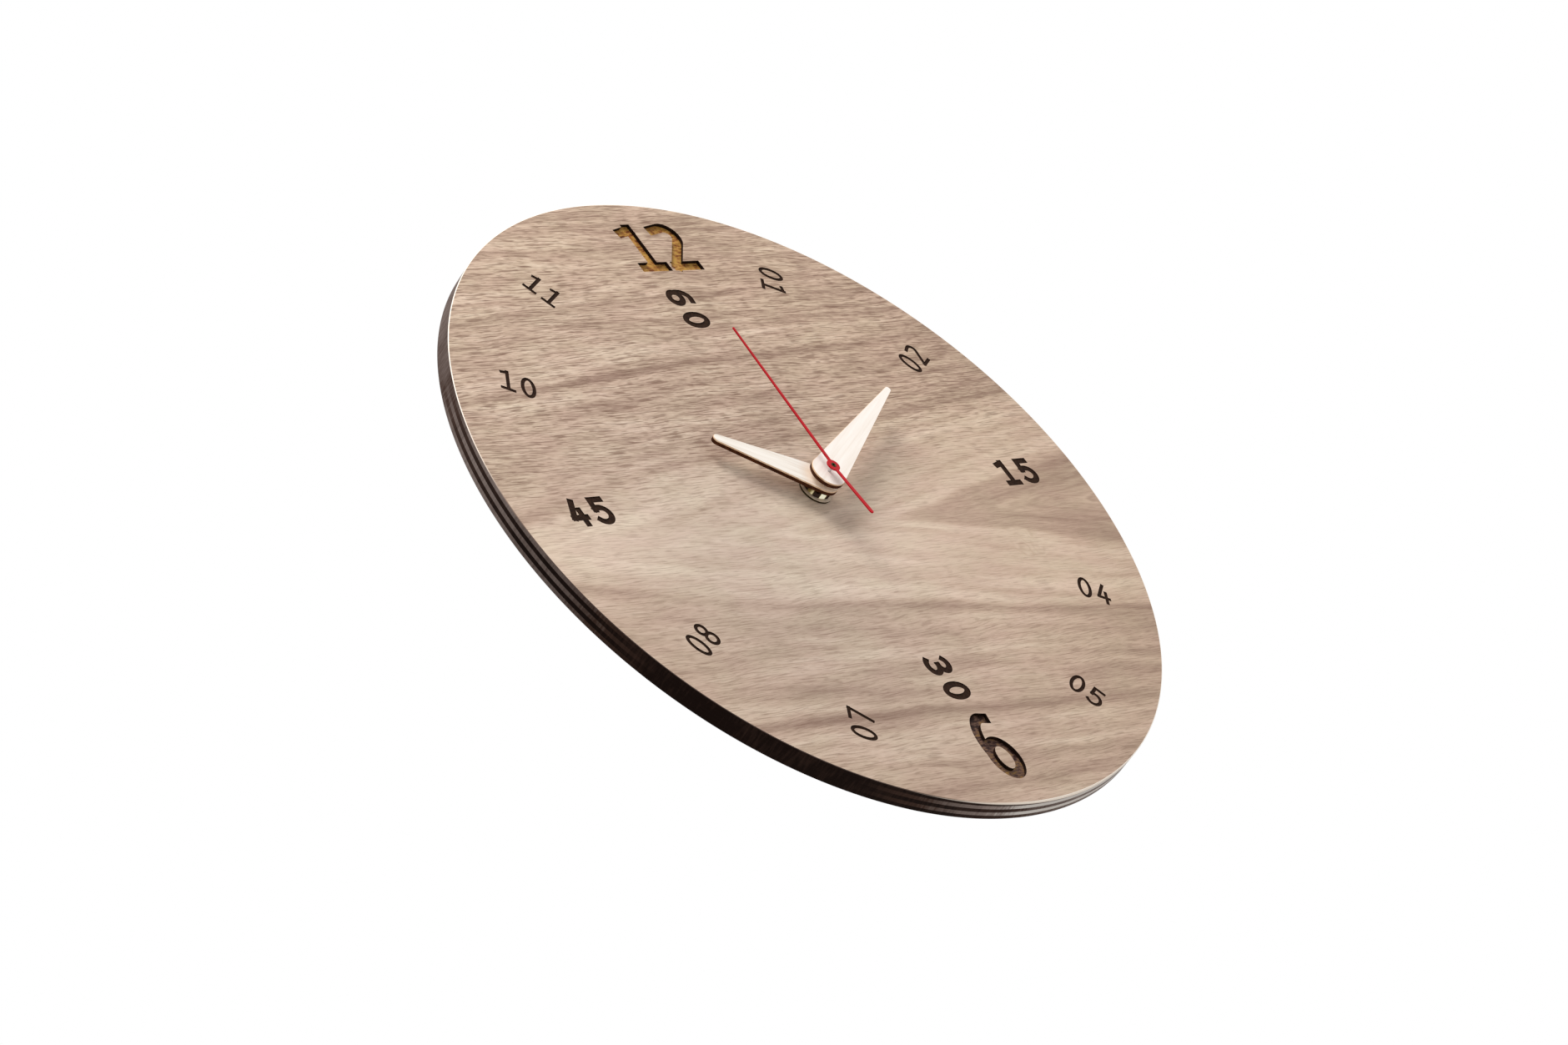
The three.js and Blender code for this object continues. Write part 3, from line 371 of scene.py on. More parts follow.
def ring_tone(tree, place, ring):
    """The tone of each ring, with the sheet paler downwards and to the left, but darker again near its
    lower left edge."""
    share = add(tree, MATH, [ring, RING_SPAN], operation="DIVIDE")
    tone = add(tree, RAMP, [share], stops=growth_ring_stops())
    paler = add(tree, VECTOR_MATH, [place, PALER], "Value", operation="DOT_PRODUCT")
    far = add(tree, VECTOR_MATH, [place, BRIGHT_PLACE], "Value", operation="DISTANCE")
    shade = add(tree, MAP_RANGE, {"Value": far, "From Min": 125.0, "From Max": 185.0, "To Max": -0.09})
    for change in (paler, shade):
        tone = add(tree, MATH, [tone, change], operation="ADD")
    return tone


def blended(tree, colour, other, share):
    """A share of another colour laid over the first."""
    return add(tree, "ShaderNodeMix", {0: share, 6: colour, 7: to_linear(other)}, 2, data_type="RGBA")


def tinted(tree, colour, share, stops):
    """A colour multiplied by a tint that drifts with a share."""
    tint = add(tree, RAMP, [share], stops=stops)
    inputs = {0: 1.0, 6: colour, 7: tint}
    return add(tree, "ShaderNodeMix", inputs, 2, data_type="RGBA", blend_type="MULTIPLY")


def walnut_veneer(name, shift, light, middle, dark):
    """Walnut, sliced flat and sanded. The knife meets the growth rings at a slant, so that they leave
    nested arches whose tips point left. Long streaks follow the arches, while short dark fibres,
    0.4 mm wide and some 9 mm long, run level with the grain and are faint inside the arches."""
    material, tree, place = finish_of(name, 0.6, ior=1.4)
    place = add(tree, VECTOR_MATH, [place, shift], operation="ADD")
    along = add(tree, SEPARATE, [place], "X")
    up = add(tree, SEPARATE, [place], "Z")
    mean_bend = 0.0
    for length, width, reach in GRAIN_BENDS:
        bend = grains(tree, place, (length, math.inf, width), 1.0)
        up = add(tree, MATH, [bend, reach, up], operation="MULTIPLY_ADD")
        mean_bend += reach / 2
    over = add(tree, MATH, [up, ARCH_AXIS + mean_bend], operation="SUBTRACT")
    ring = growth_rings(tree, place, along, over)

    # Fine grain is weaker inside the arches, near their axis and below it
    coarse = add(tree, MAP_RANGE, {"Value": ring, "From Min": 52.0, "From Max": 74.0, "To Min": 0.65})
    above = add(tree, MAP_RANGE, {"Value": over, "From Min": 5.0, "From Max": 45.0, "To Min": 0.5})
    coarse = add(tree, MATH, [coarse, above], operation="MULTIPLY")

    # Streaks: a field that follows the arches or runs level, a size in mm, a detail and an amount
    arched = add(tree, "ShaderNodeCombineXYZ", [along, ring])
    level = add(tree, "ShaderNodeCombineXYZ", [along, up])
    tone = ring_tone(tree, place, ring)
    for field, length, width, detail, amount in (
        (arched, 90.0, 5.0, 2.0, 0.25), (arched, 50.0, 1.6, 2.0, 0.15),
        (level, 20.0, 1.4, 2.0, 0.2), (level, 4.0, 0.5, 1.0, 0.16),
    ):
        wave = add(tree, MAP_RANGE, {
            "Value": grains(tree, field, (length, width, 1.0), detail),
            "From Min": 0.25, "From Max": 0.75, "To Min": -amount, "To Max": amount,
        })
        if width < 2.0:
            wave = add(tree, MATH, [wave, coarse], operation="MULTIPLY")
        tone = add(tree, MATH, [tone, wave], operation="ADD")
    colour = add(tree, RAMP, [tone], stops=[(0.0, dark), (0.5, middle), (1.0, light)])

    # The wood is bluer round a place below the hands' left, and yellower far from it
    far = add(tree, VECTOR_MATH, [place, BLUER_PLACE], "Value", operation="DISTANCE")
    far = add(tree, MATH, [far, 180.0], operation="DIVIDE")
    colour = tinted(tree, colour, far, [(0.12, "#f8fcff"), (0.5, "#fefefe"), (0.95, "#fffefa")])

    # Heartwood drifts between pink and olive in patches some 25 mm long
    patches = grains(tree, place, (26.0, math.inf, 11.0), 3.0)
    colour = tinted(tree, colour, patches, [(0.36, "#fffcfc"), (0.64, "#fdfffb")])

    # Open pores: straight dark dashes, the long ones 11 mm by 0.6 mm
    relief = patches
    for length, width, first, full, depth in ((11.0, 0.6, 0.45, 0.36, 0.62), (5.0, 0.45, 0.43, 0.34, 0.5)):
        pore = add(tree, MAP_RANGE, {
            "Value": grains(tree, level, (length, width, 1.0), 0.6),
            "From Min": first, "From Max": full, "To Max": depth,
        })
        pore = add(tree, MATH, [pore, coarse], operation="MULTIPLY")
        colour = blended(tree, colour, "#6e4f3c", pore)
        relief = add(tree, MATH, [relief, pore], operation="SUBTRACT")
    return dressed(material, colour, relief, 0.06)


def distance_from_burn(tree, place):
    """How far round the rim a place is from the deepest burn: 0 to 1."""
    facing = add(tree, VECTOR_MATH, [place, DEEPEST_BURN], "Value", operation="DOT_PRODUCT")
    return add(tree, MAP_RANGE, {
        "Value": facing, "From Min": 0.92, "From Max": 0.3,
    }, interpolation_type="SMOOTHSTEP")


def charred_edge(name, grain_axis, start, lit_share, pale_and_lit=False):
    """Plywood cut with a laser: burnt to a dull brown black, in fine lines across the thickness where
    the beam pulsed. Where the cut meets the grain end on, from the share start of the radius outwards,
    the char is thinner and grey brown shows. Towards the lower right, near 5 o'clock, the edge is paler
    by a share given as the fourth argument: painted light from below. With the fifth argument the face
    ply also gets a pale band down from its face, partly clean sanded wood and partly painted light,
    deepest towards that lower right."""
    material, tree, place = finish_of(name, 0.7, ior=1.45, specular=0.06)
    side = add(tree, SEPARATE, [place], grain_axis)
    side = add(tree, MATH, [side, DIAL_RADIUS], operation="DIVIDE")
    side = add(tree, MATH, [side], operation="ABSOLUTE")
    end_grain = add(tree, MAP_RANGE, {
        "Value": side, "From Min": start, "From Max": 1.0, "To Max": 0.5,
    }, interpolation_type="SMOOTHSTEP")
    from_burn = distance_from_burn(tree, place)
    # Painted light: the edge grows paler towards the lower right, near 5 o'clock, where light from below
    # falls
    facing = add(tree, VECTOR_MATH, [place, LIT_LOWER_RIGHT], "Value", operation="DOT_PRODUCT")
    lit_lower_right = add(tree, MAP_RANGE, {
        "Value": facing, "From Min": 0.72, "From Max": 1.0, "To Max": lit_share,
    }, interpolation_type="SMOOTHSTEP")
    blotch = add(tree, NOISE, {"Vector": place, "Scale": 0.06, "Detail": 3.0})
    lines = grains(tree, place, (0.9, 6.0, 0.9))
    thin = 0.0
    for cause, weight in (
        (end_grain, 0.83), (from_burn, 0.3735), (lit_lower_right, 0.83), (blotch, 0.25), (lines, 0.25),
    ):
        thin = add(tree, MATH, [cause, weight, thin], operation="MULTIPLY_ADD")
    colour = add(tree, RAMP, [thin], stops=[
        (0.25, "#150905"), (0.5, "#3c2a22"), (0.83, "#857771"), (1.0, "#c6bfb9"),
    ])
    if pale_and_lit:
        # Pale wood down to a depth in mm below the face, which grows towards the lower right: clean sanded
        # wood with painted light over it
        depth = add(tree, MAP_RANGE, {
            "Value": facing, "From Min": 0.5, "From Max": 0.95, "To Min": -0.3, "To Max": 1.1,
        })
        depth = add(tree, MATH, [from_burn, 0.5, depth], operation="MULTIPLY_ADD")
        behind = add(tree, SEPARATE, [place], "Y")
        height = add(tree, MATH, [depth, behind], operation="SUBTRACT")
        clean = add(tree, MAP_RANGE, {
            "Value": height, "From Min": DIAL_FACE - 0.25, "From Max": DIAL_FACE + 0.25,
        })
        colour = blended(tree, colour, "#efe2d4", clean)
    return dressed(material, colour, lines, 0.05)


def sanded_arris_and_highlight(name):
    """The sharp edge of the face, touched with sandpaper after the cut: a thin line of clean pale wood
    with a near white painted highlight along it, that stays brown where the burn is deepest."""
    material, tree, place = finish_of(name, 0.5, ior=1.45)
    # The palest stops are a painted highlight along the edge, over the sanded wood
    colour = add(tree, RAMP, [distance_from_burn(tree, place)], stops=[
        (0.0, "#3b261c"), (0.12, "#8f7564"), (0.3, "#ead8c6"), (0.6, "#fff3e6"),
    ])
    rub = add(tree, NOISE, {"Vector": place, "Scale": 0.25, "Detail": 3.0})
    return dressed(material, colour, rub, 0.03)


def scorched_floor(name, stops, low, high):
    """The ply left at the bottom of a laser pocket: toasted amber, cleaner towards its low end where
    the smoke was drawn off, with burnt flecks 1 to 3 mm long and rows 0.5 mm apart from the beam."""
    material, tree, place = finish_of(name, 0.6, ior=1.45, specular=0.12)
    height = add(tree, SEPARATE, [place], "Z")
    tone = add(tree, MAP_RANGE, {
        "Value": height, "From Min": low, "From Max": high, "To Min": 0.68, "To Max": 0.36,
    })
    patches = add(tree, NOISE, {"Vector": place, "Scale": 0.28, "Detail": 4.0, "Roughness": 0.6})
    flecks = grains(tree, place, (3.0, 1.0, 0.9))
    for noise, amount in ((patches, 1.9), (flecks, 1.5)):
        wave = add(tree, MATH, [noise, 0.5], operation="SUBTRACT")
        tone = add(tree, MATH, [wave, amount, tone], operation="MULTIPLY_ADD")
    colour = add(tree, RAMP, [tone], stops=stops)
    rows = add(tree, "ShaderNodeTexWave", {
        "Vector": place, "Scale": 0.64, "Distortion": 1.0,
    }, "Fac", bands_direction="Z")
    relief = add(tree, MATH, [rows, 0.3, patches], operation="MULTIPLY_ADD")
    return dressed(material, colour, relief, 0.12)


def mottled(name, dark, light, size_mm, relief_mm, roughness, **more):
    """A plain surface whose tone wavers a little between two colours over a real grain size."""
    material, tree, place = finish_of(name, roughness, **more)
    grain = add(tree, NOISE, {"Vector": place, "Scale": 1 / size_mm, "Detail": 3.0})
    colour = add(tree, RAMP, [grain], stops=[(0.3, dark), (0.7, light)])
    return dressed(material, colour, grain, relief_mm)


def pale_hand_wood(name, bearing, light, dark, stain_and_shade):
    """Maple, sanded: almost white, with faint streaks along the hand, and tan by a share round the hub:
    smoke and finger grease, with painted warm shade from the minute hand over them."""
    material, tree, place = finish_of(name, 0.5, ior=1.45)
    turned_back = add(tree, "ShaderNodeMapping", {0: place, "Rotation": (0, -math.radians(bearing), 0)})
    streak = grains(tree, turned_back, (1.6, 5.0, 34.0), 4.0, 0.6)
    colour = add(tree, RAMP, [streak], stops=[(0.3, dark), (0.62, light)])
    flat = add(tree, VECTOR_MATH, [place, (1.0, 0.0, 1.0)], operation="MULTIPLY")
    reach = add(tree, VECTOR_MATH, [flat], "Value", operation="LENGTH")
    # Tan round the hub: smoke and grease, and painted warm shade under the minute hand
    smoke_and_shade = add(tree, MAP_RANGE, {
        "Value": reach, "From Min": 7.0, "From Max": 11.0, "To Min": stain_and_shade, "To Max": 0.0,
    })
    colour = blended(tree, colour, "#e6bd97", smoke_and_shade)
    return dressed(material, colour, streak, 0.03)


def turned_brass(name, light, dark, roughness=0.24, metallic=1.0):
    """Brass, turned and left bright: fine rings round the axis, and a little tarnish in patches. Where
    it is dull, a skin of oxide covers part of the metal."""
    material, tree, place = finish_of(name, roughness, metallic=metallic)
    tarnish = add(tree, NOISE, {"Vector": place, "Scale": 0.35, "Detail": 4.0})
    colour = add(tree, RAMP, [tarnish], stops=[(0.35, dark), (0.65, light)])
    return dressed(material, colour, grains(tree, place, (0.5, 1 / 12, 0.5)), 0.01)


def nut_with_painted_glint(name):
    """Turned brass, painted brown black for shade and the dark reflections of the hands. A painted glint
    lights one flat bright and its neighbours a little, off the middle. The flats lean to the front, so
    they catch the room's light."""
    material, tree, place = finish_of(name, 0.3, metallic=0.8)
    up = add(tree, SEPARATE, [place], "Z")
    across = add(tree, SEPARATE, [place], "X")
    turn = add(tree, MATH, [up, across], operation="ARCTAN2")
    flat = add(tree, MATH, [turn, 3 / math.pi, -NUT_TURN * 3 / math.pi], operation="MULTIPLY_ADD")
    flat = add(tree, MATH, [flat], operation="FRACT")
    off = add(tree, MATH, [flat, 0.56], operation="SUBTRACT")
    off = add(tree, MATH, [off], operation="ABSOLUTE")
    # A painted glint on one flat, off its middle, fading over its neighbours
    pale_and_lit = add(tree, MAP_RANGE, {
        "Value": off, "From Min": 0.27, "From Max": 0.17,
    }, interpolation_type="SMOOTHSTEP")
    # The dot product with this is 1 at the nut's lowest corner, 5.6 mm out
    lower_side = (-0.225 / 5.6, 0.0, -0.974 / 5.6)
    facing = add(tree, VECTOR_MATH, [place, lower_side], "Value", operation="DOT_PRODUCT")
    share = add(tree, MAP_RANGE, {"Value": facing, "From Min": 0.4, "From Max": 0.85, "To Min": 0.25})
    pale_and_lit = add(tree, MATH, [pale_and_lit, share], operation="MULTIPLY")
    # Painted shade and dark reflections in brown black, the painted glint in pale yellow
    colour = add(tree, RAMP, [pale_and_lit], stops=[
        (0.0, "#2a180e"), (0.3, "#84713f"), (0.6, "#fff3c4"), (1.0, "#fffbe0"),
    ])
    scratches = grains(tree, place, (1.0, 1 / 9, 1.0))
    scratches = add(tree, MATH, [scratches, 0.004], operation="MULTIPLY")
    behind = add(tree, SEPARATE, [place], "Y")
    lean = add(tree, MATH, [behind, 0.6, scratches], operation="MULTIPLY_ADD")
    return dressed(material, colour, lean, 1.0)


WALNUT = walnut_veneer("sanded_walnut_veneer", (0.0, 0.0, 0.0), "#dfcab7", "#bfa693", "#907565")
BACK_WALNUT = walnut_veneer("back_walnut_veneer", (-70.0, 0.0, 55.0), "#ccb199", "#ab907c", "#84695a")
ARRIS = sanded_arris_and_highlight("sanded_edge_line_and_painted_highlight")
EDGE_OF_FACE_GRAIN = charred_edge("charred_edge_with_face_grain", "X", 0.88, 0.2)
EDGE_OF_FACE_PLY = charred_edge("charred_edge_sanded_and_lit_at_the_face", "X", 0.9, 0.3, pale_and_lit=True)
EDGE_OF_CROSS_GRAIN = charred_edge("charred_edge_with_cross_grain", "Z", 0.84, 0.52)
# The walls of the laser pockets, burnt black
POCKET_WALL = mottled("charred_pocket_wall", "#120906", "#2a1910", 1.2, 0.05, 0.7, specular=0.06)
AMBER_FLOOR = scorched_floor("toasted_pocket_floor", [
    (0.12, "#43200f"), (0.3, "#804a26"), (0.42, "#9c6636"), (0.5, "#94702a"), (0.62, "#b07d46"),
    (0.85, "#ba9046"),
], 60.0, 200.0)
BROWN_FLOOR = scorched_floor("scorched_pocket_floor", [
    (0.1, "#22120c"), (0.36, "#45302a"), (0.55, "#6b5144"), (0.68, "#74583f"), (0.85, "#8c6a40"),
], -139.0, -115.0)
# Raster engraving: the veneer burnt to a brown black with a rough floor
ENGRAVED = mottled("burnt_engraving", "#1d110b", "#352318", 0.8, 0.06, 0.75, specular=0.06)
HOUR_WOOD = pale_hand_wood("maple_hour_hand", HOUR_HAND["bearing"], "#f3ece3", "#e0d4c6", 0.3)
MINUTE_WOOD = pale_hand_wood("maple_minute_hand", MINUTE_HAND["bearing"], "#f8f0e8", "#efe4d9", 0.0)
# The hands' cut edges: burnt dark brown, with a toasted line along the face
HAND_CHAR = mottled("charred_hand_edge", "#2a1209", "#552e18", 1.5, 0.04, 0.6, specular=0.06)
HAND_TOAST = mottled("toasted_hand_line", "#c9a27c", "#efd3b4", 2.0, 0.02, 0.55, specular=0.2)
# Stove enamel over thin sheet: an even gloss red
RED_ENAMEL = mottled("red_stove_enamel", "#a90f1a", "#bb1420", 9.0, 0.004, 0.35, specular=0.12)
BRASS = turned_brass("turned_brass", "#d9bd6e", "#a98f4a")
NUT_BRASS = nut_with_painted_glint("nut_brass_with_painted_glint_and_shade")
# The washer's pale taupe top is a painted reflection of the wood and hands in its brass
WASHER_BRASS = turned_brass("washer_brass_painted_reflection", "#d9c8b4", "#b8a590", roughness=0.6, metallic=0.15)
# The washer's side wall in brown black is a painted dark reflection and painted shade under its edge
WASHER_EDGE = turned_brass("washer_edge_painted_dark_reflection", "#54492f", "#332a19", roughness=0.5)
DARK_BRASS = turned_brass("tarnished_bush_brass", "#8f7c45", "#5b4d2a")
EYE_BRASS = turned_brass("blackened_eye_brass", "#4b4a2c", "#2b2a18", roughness=0.45)
# Steel rod, ground bright
ARBOR_STEEL = mottled("ground_arbor_steel", "#b4b6b9", "#cdcfd1", 1.0, 0.005, 0.3, metallic=1.0)
# Zinc-plated sheet: pale grey with a soft spangle
ZINC = mottled("zinc_plated_sheet", "#a9adb2", "#c8cbcf", 4.0, 0.01, 0.38, metallic=1.0)
NICKEL = mottled("nickel_plated_strip", "#c2bfb8", "#d5d2ca", 3.0, 0.004, 0.22, metallic=1.0)
# Moulded rubber, dusty matt
RUBBER = mottled("moulded_rubber", "#151515", "#232323", 0.6, 0.02, 0.85)
# ABS moulded against an etched tool: a fine even sparkle on black
BLACK_ABS = mottled("etched_black_abs", "#1b1c1e", "#2a2b2e", 0.35, 0.02, 0.55)
# Acetal: waxy, nearly white
WHITE_ACETAL = mottled("moulded_acetal", "#dcd9cf", "#ece9e0", 5.0, 0.006, 0.4)
CLEAR_STYRENE = mottled("clear_styrene", "#cfd6da", "#e1e6e8", 6.0, 0.004, 0.15, coat=0.5)
# Enamelled copper wire, wound close
COPPER = mottled("enamelled_copper_wire", "#8d4420", "#b5622f", 0.5, 0.06, 0.3, coat=0.6)
# Glass laminate under green solder mask
SOLDER_MASK = mottled("green_solder_mask", "#1f5434", "#2c6b45", 1.5, 0.015, 0.35, coat=0.3)
FERRITE = mottled("sintered_ferrite", "#2f2c2a", "#4a4744", 0.4, 0.02, 0.6)
# Shrunk PVC film over the cell: smooth, with a soft gloss
CELL_FILM = mottled("shrunk_blue_film", "#34547c", "#3d6190", 12.0, 0.008, 0.3, coat=0.3)
CELL_BAND = mottled("shrunk_grey_film", "#b3b9c0", "#c2c7cd", 12.0, 0.008, 0.3, coat=0.3)


# Board: five plies, the face ply with its numbers cut in

def ply_surface(index):
    """A ring with rounded corners; the face ply's outer corner is sanded further back."""
    bottom = BOARD_BACK + index * PLY_THICKNESS
    top = bottom + PLY_THICKNESS
    corners = [(BOARD_HOLE, bottom), (DIAL_RADIUS, bottom), (DIAL_RADIUS, top), (BOARD_HOLE, top)]
    last = index == len(PLY_NODES) - 1
    reach = [0.05, 0.07, FACE_ARRIS if last else 0.07, 0.05]
    return loft(turned(eased(corners, reach), 480), closed=True)


def arc_shares(x, y, radius_x, radius_y, start, end, steps):
    """Points of an ellipse's arc between two angles in degrees, in shares of a digit's box."""
    turn = np.radians(np.linspace(start, end, steps + 1))
    return np.stack([x + radius_x * np.cos(turn), y + radius_y * np.sin(turn)], -1)


def loop_shares(x, y, radius_x, radius_y, steps=64):
    return arc_shares(x, y, radius_x, radius_y, 0, 360 - 360 / steps, steps - 1)


# The strokes of each digit, and whether a stroke is closed
DIGIT_STROKES = {
    "0": [(loop_shares(0.5, 0.5, 0.5, 0.5), True)],
    "1": [
        ([[0.04, 0.9], [0.5, 0.96]], False),
        ([[0.52, 1], [0.52, 0]], False),
        ([[0, 0], [1, 0]], False),
    ],
    "2": [
        (np.concatenate([[[0.03, 0.95]], arc_shares(0.55, 0.76, 0.45, 0.24, 105, -25, 30), [[0, 0]]]),
         False),
        ([[0, 0], [1, 0]], False),
    ],
    "3": [
        (arc_shares(0.42, 0.76, 0.5, 0.24, 140, -90, 30), False),
        (arc_shares(0.42, 0.26, 0.58, 0.26, 90, -140, 30), False),
    ],
    "4": [
        ([[0.56, 1], [0, 0.28]], False),
        ([[0, 0.28], [1, 0.28]], False),
        ([[0.74, 0.6], [0.74, 0]], False),
    ],
    "5": [
        ([[0.1, 1], [0.92, 1]], False),
        ([[0.1, 1], [0.06, 0.56]], False),
        (arc_shares(0.4, 0.32, 0.6, 0.32, 125, -140, 36), False),
    ],
    "6": [
        (loop_shares(0.5, 0.29, 0.5, 0.29), True),
        (np.concatenate([arc_shares(0.62, 0.5, 0.62, 0.5, 190, 90, 24), [[0.84, 0.985]]]), False),
    ],
    "7": [([[0, 1], [1, 1]], False), ([[1, 1], [0.36, 0]], False)],
    "8": [
        (loop_shares(0.5, 0.76, 0.42, 0.24), True),
        (loop_shares(0.5, 0.26, 0.5, 0.26), True),
    ],
}


def stroke_bar(middle, width, closed, bottom, top):
    """A bar of rectangular section along a line.

    At each point the sides lie half the width away, measured square to both neighbouring stretches,
    so the mean direction's normal is lengthened by one over the cosine of half the bend. The ends of
    an open line go on by half the width.
    """
    points = np.array(middle, float)
    half = width / 2
    if not closed:
        first = points[0] - points[1]
        last = points[-1] - points[-2]
        points[0] += first / np.linalg.norm(first) * half
        points[-1] += last / np.linalg.norm(last) * half
    ways = np.roll(points, -1, 0) - points
    if not closed:
        ways[-1] = ways[-2]
    ways /= np.linalg.norm(ways, axis=1, keepdims=True)
    before = np.roll(ways, 1, 0)
    if not closed:
        before[0] = ways[0]
    mean = before + ways
    mean /= np.linalg.norm(mean, axis=1, keepdims=True)
    reach = half / (mean * ways).sum(1, keepdims=True)
    side = np.stack([-mean[:, 1], mean[:, 0]], -1) * reach
    left, right = points + side, points - side
    corners = [(right, bottom), (left, bottom), (left, top), (right, top)]
    rings = [np.column_stack([edge, np.full(len(edge), height)]) for edge, height in corners]
    return loft(np.stack(rings, 1), closed=closed)


def number_bars(text, x, y, degrees, depth, width, height, stroke, gap=0.0):
    """The bars that cut a number to a depth, centred on a place and turned anticlockwise."""
    step = width + gap
    length = len(text) * step - gap
    bars = []
    for i, digit in enumerate(text):
        for shares, closed in DIGIT_STROKES[digit]:
            line = stroke / 2 + np.array(shares) * (np.array([width, height]) - stroke)
            line = spun(line + [i * step - length / 2, -height / 2], degrees) + [x, y]
            bars.append(stroke_bar(line, stroke, closed, DIAL_FACE - depth, DIAL_FACE + 1))
    return bars


def pocket_bars():
    """The 12 over the hands and the 6 under them."""
    return [
        *number_bars("1", 4.6, 126.4, 0, POCKET_DEPTH, **SUNK_12),
        *number_bars("2", 21.9, 126.4, 0, POCKET_DEPTH, **SUNK_12),
        *number_bars("6", -5.0, -124.0, 0, POCKET_DEPTH, **SUNK_6),
    ]


def engraving_bars():
    """The hours stand along their radii, the quarters level or reading downwards."""
    bars = []
    for hour in (1, 2, 4, 5, 7, 8, 10, 11):
        bearing = 90 - 30 * hour
        turn = bearing if 1 < hour < 6 else bearing + 180
        x = HOUR_RING * math.cos(math.radians(bearing))
        y = HOUR_RING * math.sin(math.radians(bearing))
        bars += number_bars(f"{hour:02d}", x, y, turn, ENGRAVING_DEPTH, **HOUR_DIGITS)
    for text, x, y, turn in (
        ("15", 115.0, 0.0, 0), ("45", -115.8, 0.0, 0), ("60", 5.3, 93.8, -90), ("30", -4.1, -91.9, -90),
    ):
        bars += number_bars(text, x, y, turn, ENGRAVING_DEPTH, **QUARTER_DIGITS)
    return bars


def cut_out(piece, bars):
    """Cuts a set of bars, which may cross each other, out of a piece."""
    tool = new_piece("cutting_bars", merged(bars), [])
    modifier = piece.modifiers.new("cut", "BOOLEAN")
    modifier.operation = "DIFFERENCE"
    modifier.solver = "EXACT"
    modifier.use_self = True
    modifier.object = tool
    apply_modifiers(piece)
    bpy.data.objects.remove(tool)


def centres_and_normals(mesh):
    """The middle and the normal of every face, in dial coordinates."""
    both = []
    for name, scale in (("center", 1000), ("normal", 1)):
        values = np.empty(len(mesh.polygons) * 3)
        mesh.polygons.foreach_get(name, values)
        both.append(values.reshape(-1, 3)[:, [0, 2, 1]] * [scale, scale, -scale])
    return both


def make_board():
    """Face grain and cross grain by turns; the face ply's materials follow from where each face lies."""
    for index, node in enumerate(PLY_NODES[:-1]):
        edge = EDGE_OF_FACE_GRAIN if index % 2 == 0 else EDGE_OF_CROSS_GRAIN
        piece = new_piece(f"board_{node}", ply_surface(index), [edge, BACK_WALNUT])
        if index == 0:
            centres, normals = centres_and_normals(piece.data)
            reach = np.hypot(centres[:, 0], centres[:, 1])
            back = (normals[:, 2] < -0.9) & (reach < DIAL_RADIUS - 0.1)
            piece.data.polygons.foreach_set("material_index", back.astype(int))
        stands_for(piece, node)
    face = new_piece("board_face_ply", ply_surface(len(PLY_NODES) - 1), [
        WALNUT, EDGE_OF_FACE_PLY, ARRIS, POCKET_WALL, AMBER_FLOOR, BROWN_FLOOR, ENGRAVED,
    ])
    cut_out(face, pocket_bars())
    cut_out(face, engraving_bars())
    centres, normals = centres_and_normals(face.data)
    depth = DIAL_FACE - centres[:, 2]
    reach = np.hypot(centres[:, 0], centres[:, 1])
    faces_viewer = normals[:, 2] > 0.9
    at_rim = reach > DIAL_RADIUS - FACE_ARRIS - 0.01
    sunk = faces_viewer & (depth > POCKET_DEPTH - 0.01)
    engraved = faces_viewer & (depth > ENGRAVING_DEPTH - 0.01)
    veneer = faces_viewer & (depth < 0.01) & (reach < DIAL_RADIUS - FACE_ARRIS)
    slot = np.select(
        [veneer, at_rim & (normals[:, 2] > 0.15), at_rim, sunk & (centres[:, 1] > 0), sunk, engraved],
        [0, 2, 1, 4, 5, 6],
        default=3,
    )
    face.data.polygons.foreach_set("material_index", slot)
    smooth(face.data, 30)
    stands_for(face, "face_ply")


# Hands

def hand_outline(length, hub, tip, inset):
    """The line round a hub circle and a tip circle with the straight sides that touch both, drawn
    further in by the inset. A side leaves the hub at the angle whose sine is (hub - tip) over the
    distance between the two centres."""
    tip_y = length - tip
    lean = math.asin((hub - tip) / tip_y)
    tip_turn = np.linspace(lean, np.pi - lean, 25)[:, None]
    hub_turn = np.linspace(np.pi - lean, 2 * np.pi + lean, 73)[:, None]
    tip_arc = np.hstack([np.cos(tip_turn), np.sin(tip_turn)]) * (tip - inset) + [0, tip_y]
    hub_arc = np.hstack([np.cos(hub_turn), np.sin(hub_turn)]) * (hub - inset)
    share = np.linspace(0, 1, 14)[1:-1, None]
    left = tip_arc[-1] * (1 - share) + hub_arc[0] * share
    right = hub_arc[-1] * (1 - share) + tip_arc[0] * share
    return np.concatenate([tip_arc, left, hub_arc, right])


def hand_surface(length, hub, tip, hole, top, bearing):
    """Rings at the outline and at the hole, from the back face round the edge to the front face and
    down through the hole. The hole's points look out at the outline's points."""
    top = DIAL_FACE + top
    bottom = top - HAND_THICKNESS
    edge = [(0.12, bottom), (0, bottom + 0.12), (0, top - 0.5), (0, top - 0.14), (0.14, top)]
    rings = [(hand_outline(length, hub, tip, inset), height) for inset, height in edge]
    looks = np.arctan2(rings[0][0][:, 1], rings[0][0][:, 0])
    eye = np.column_stack([np.cos(looks), np.sin(looks)]) * hole
    rings += [(eye, top), (eye, bottom)]
    rings = [
        np.column_stack([spun(line, -bearing), np.full(len(line), height)]) for line, height in rings
    ]
    return loft(np.stack(rings), closed=True)


def make_wood_hand(name, node, shape, wood):
    edges = {0: 1, 1: 1, 2: 2, 3: 2, 5: 1}
    piece = new_piece(name, hand_surface(**shape), [wood, HAND_CHAR, HAND_TOAST], edges)
    stands_for(piece, node)


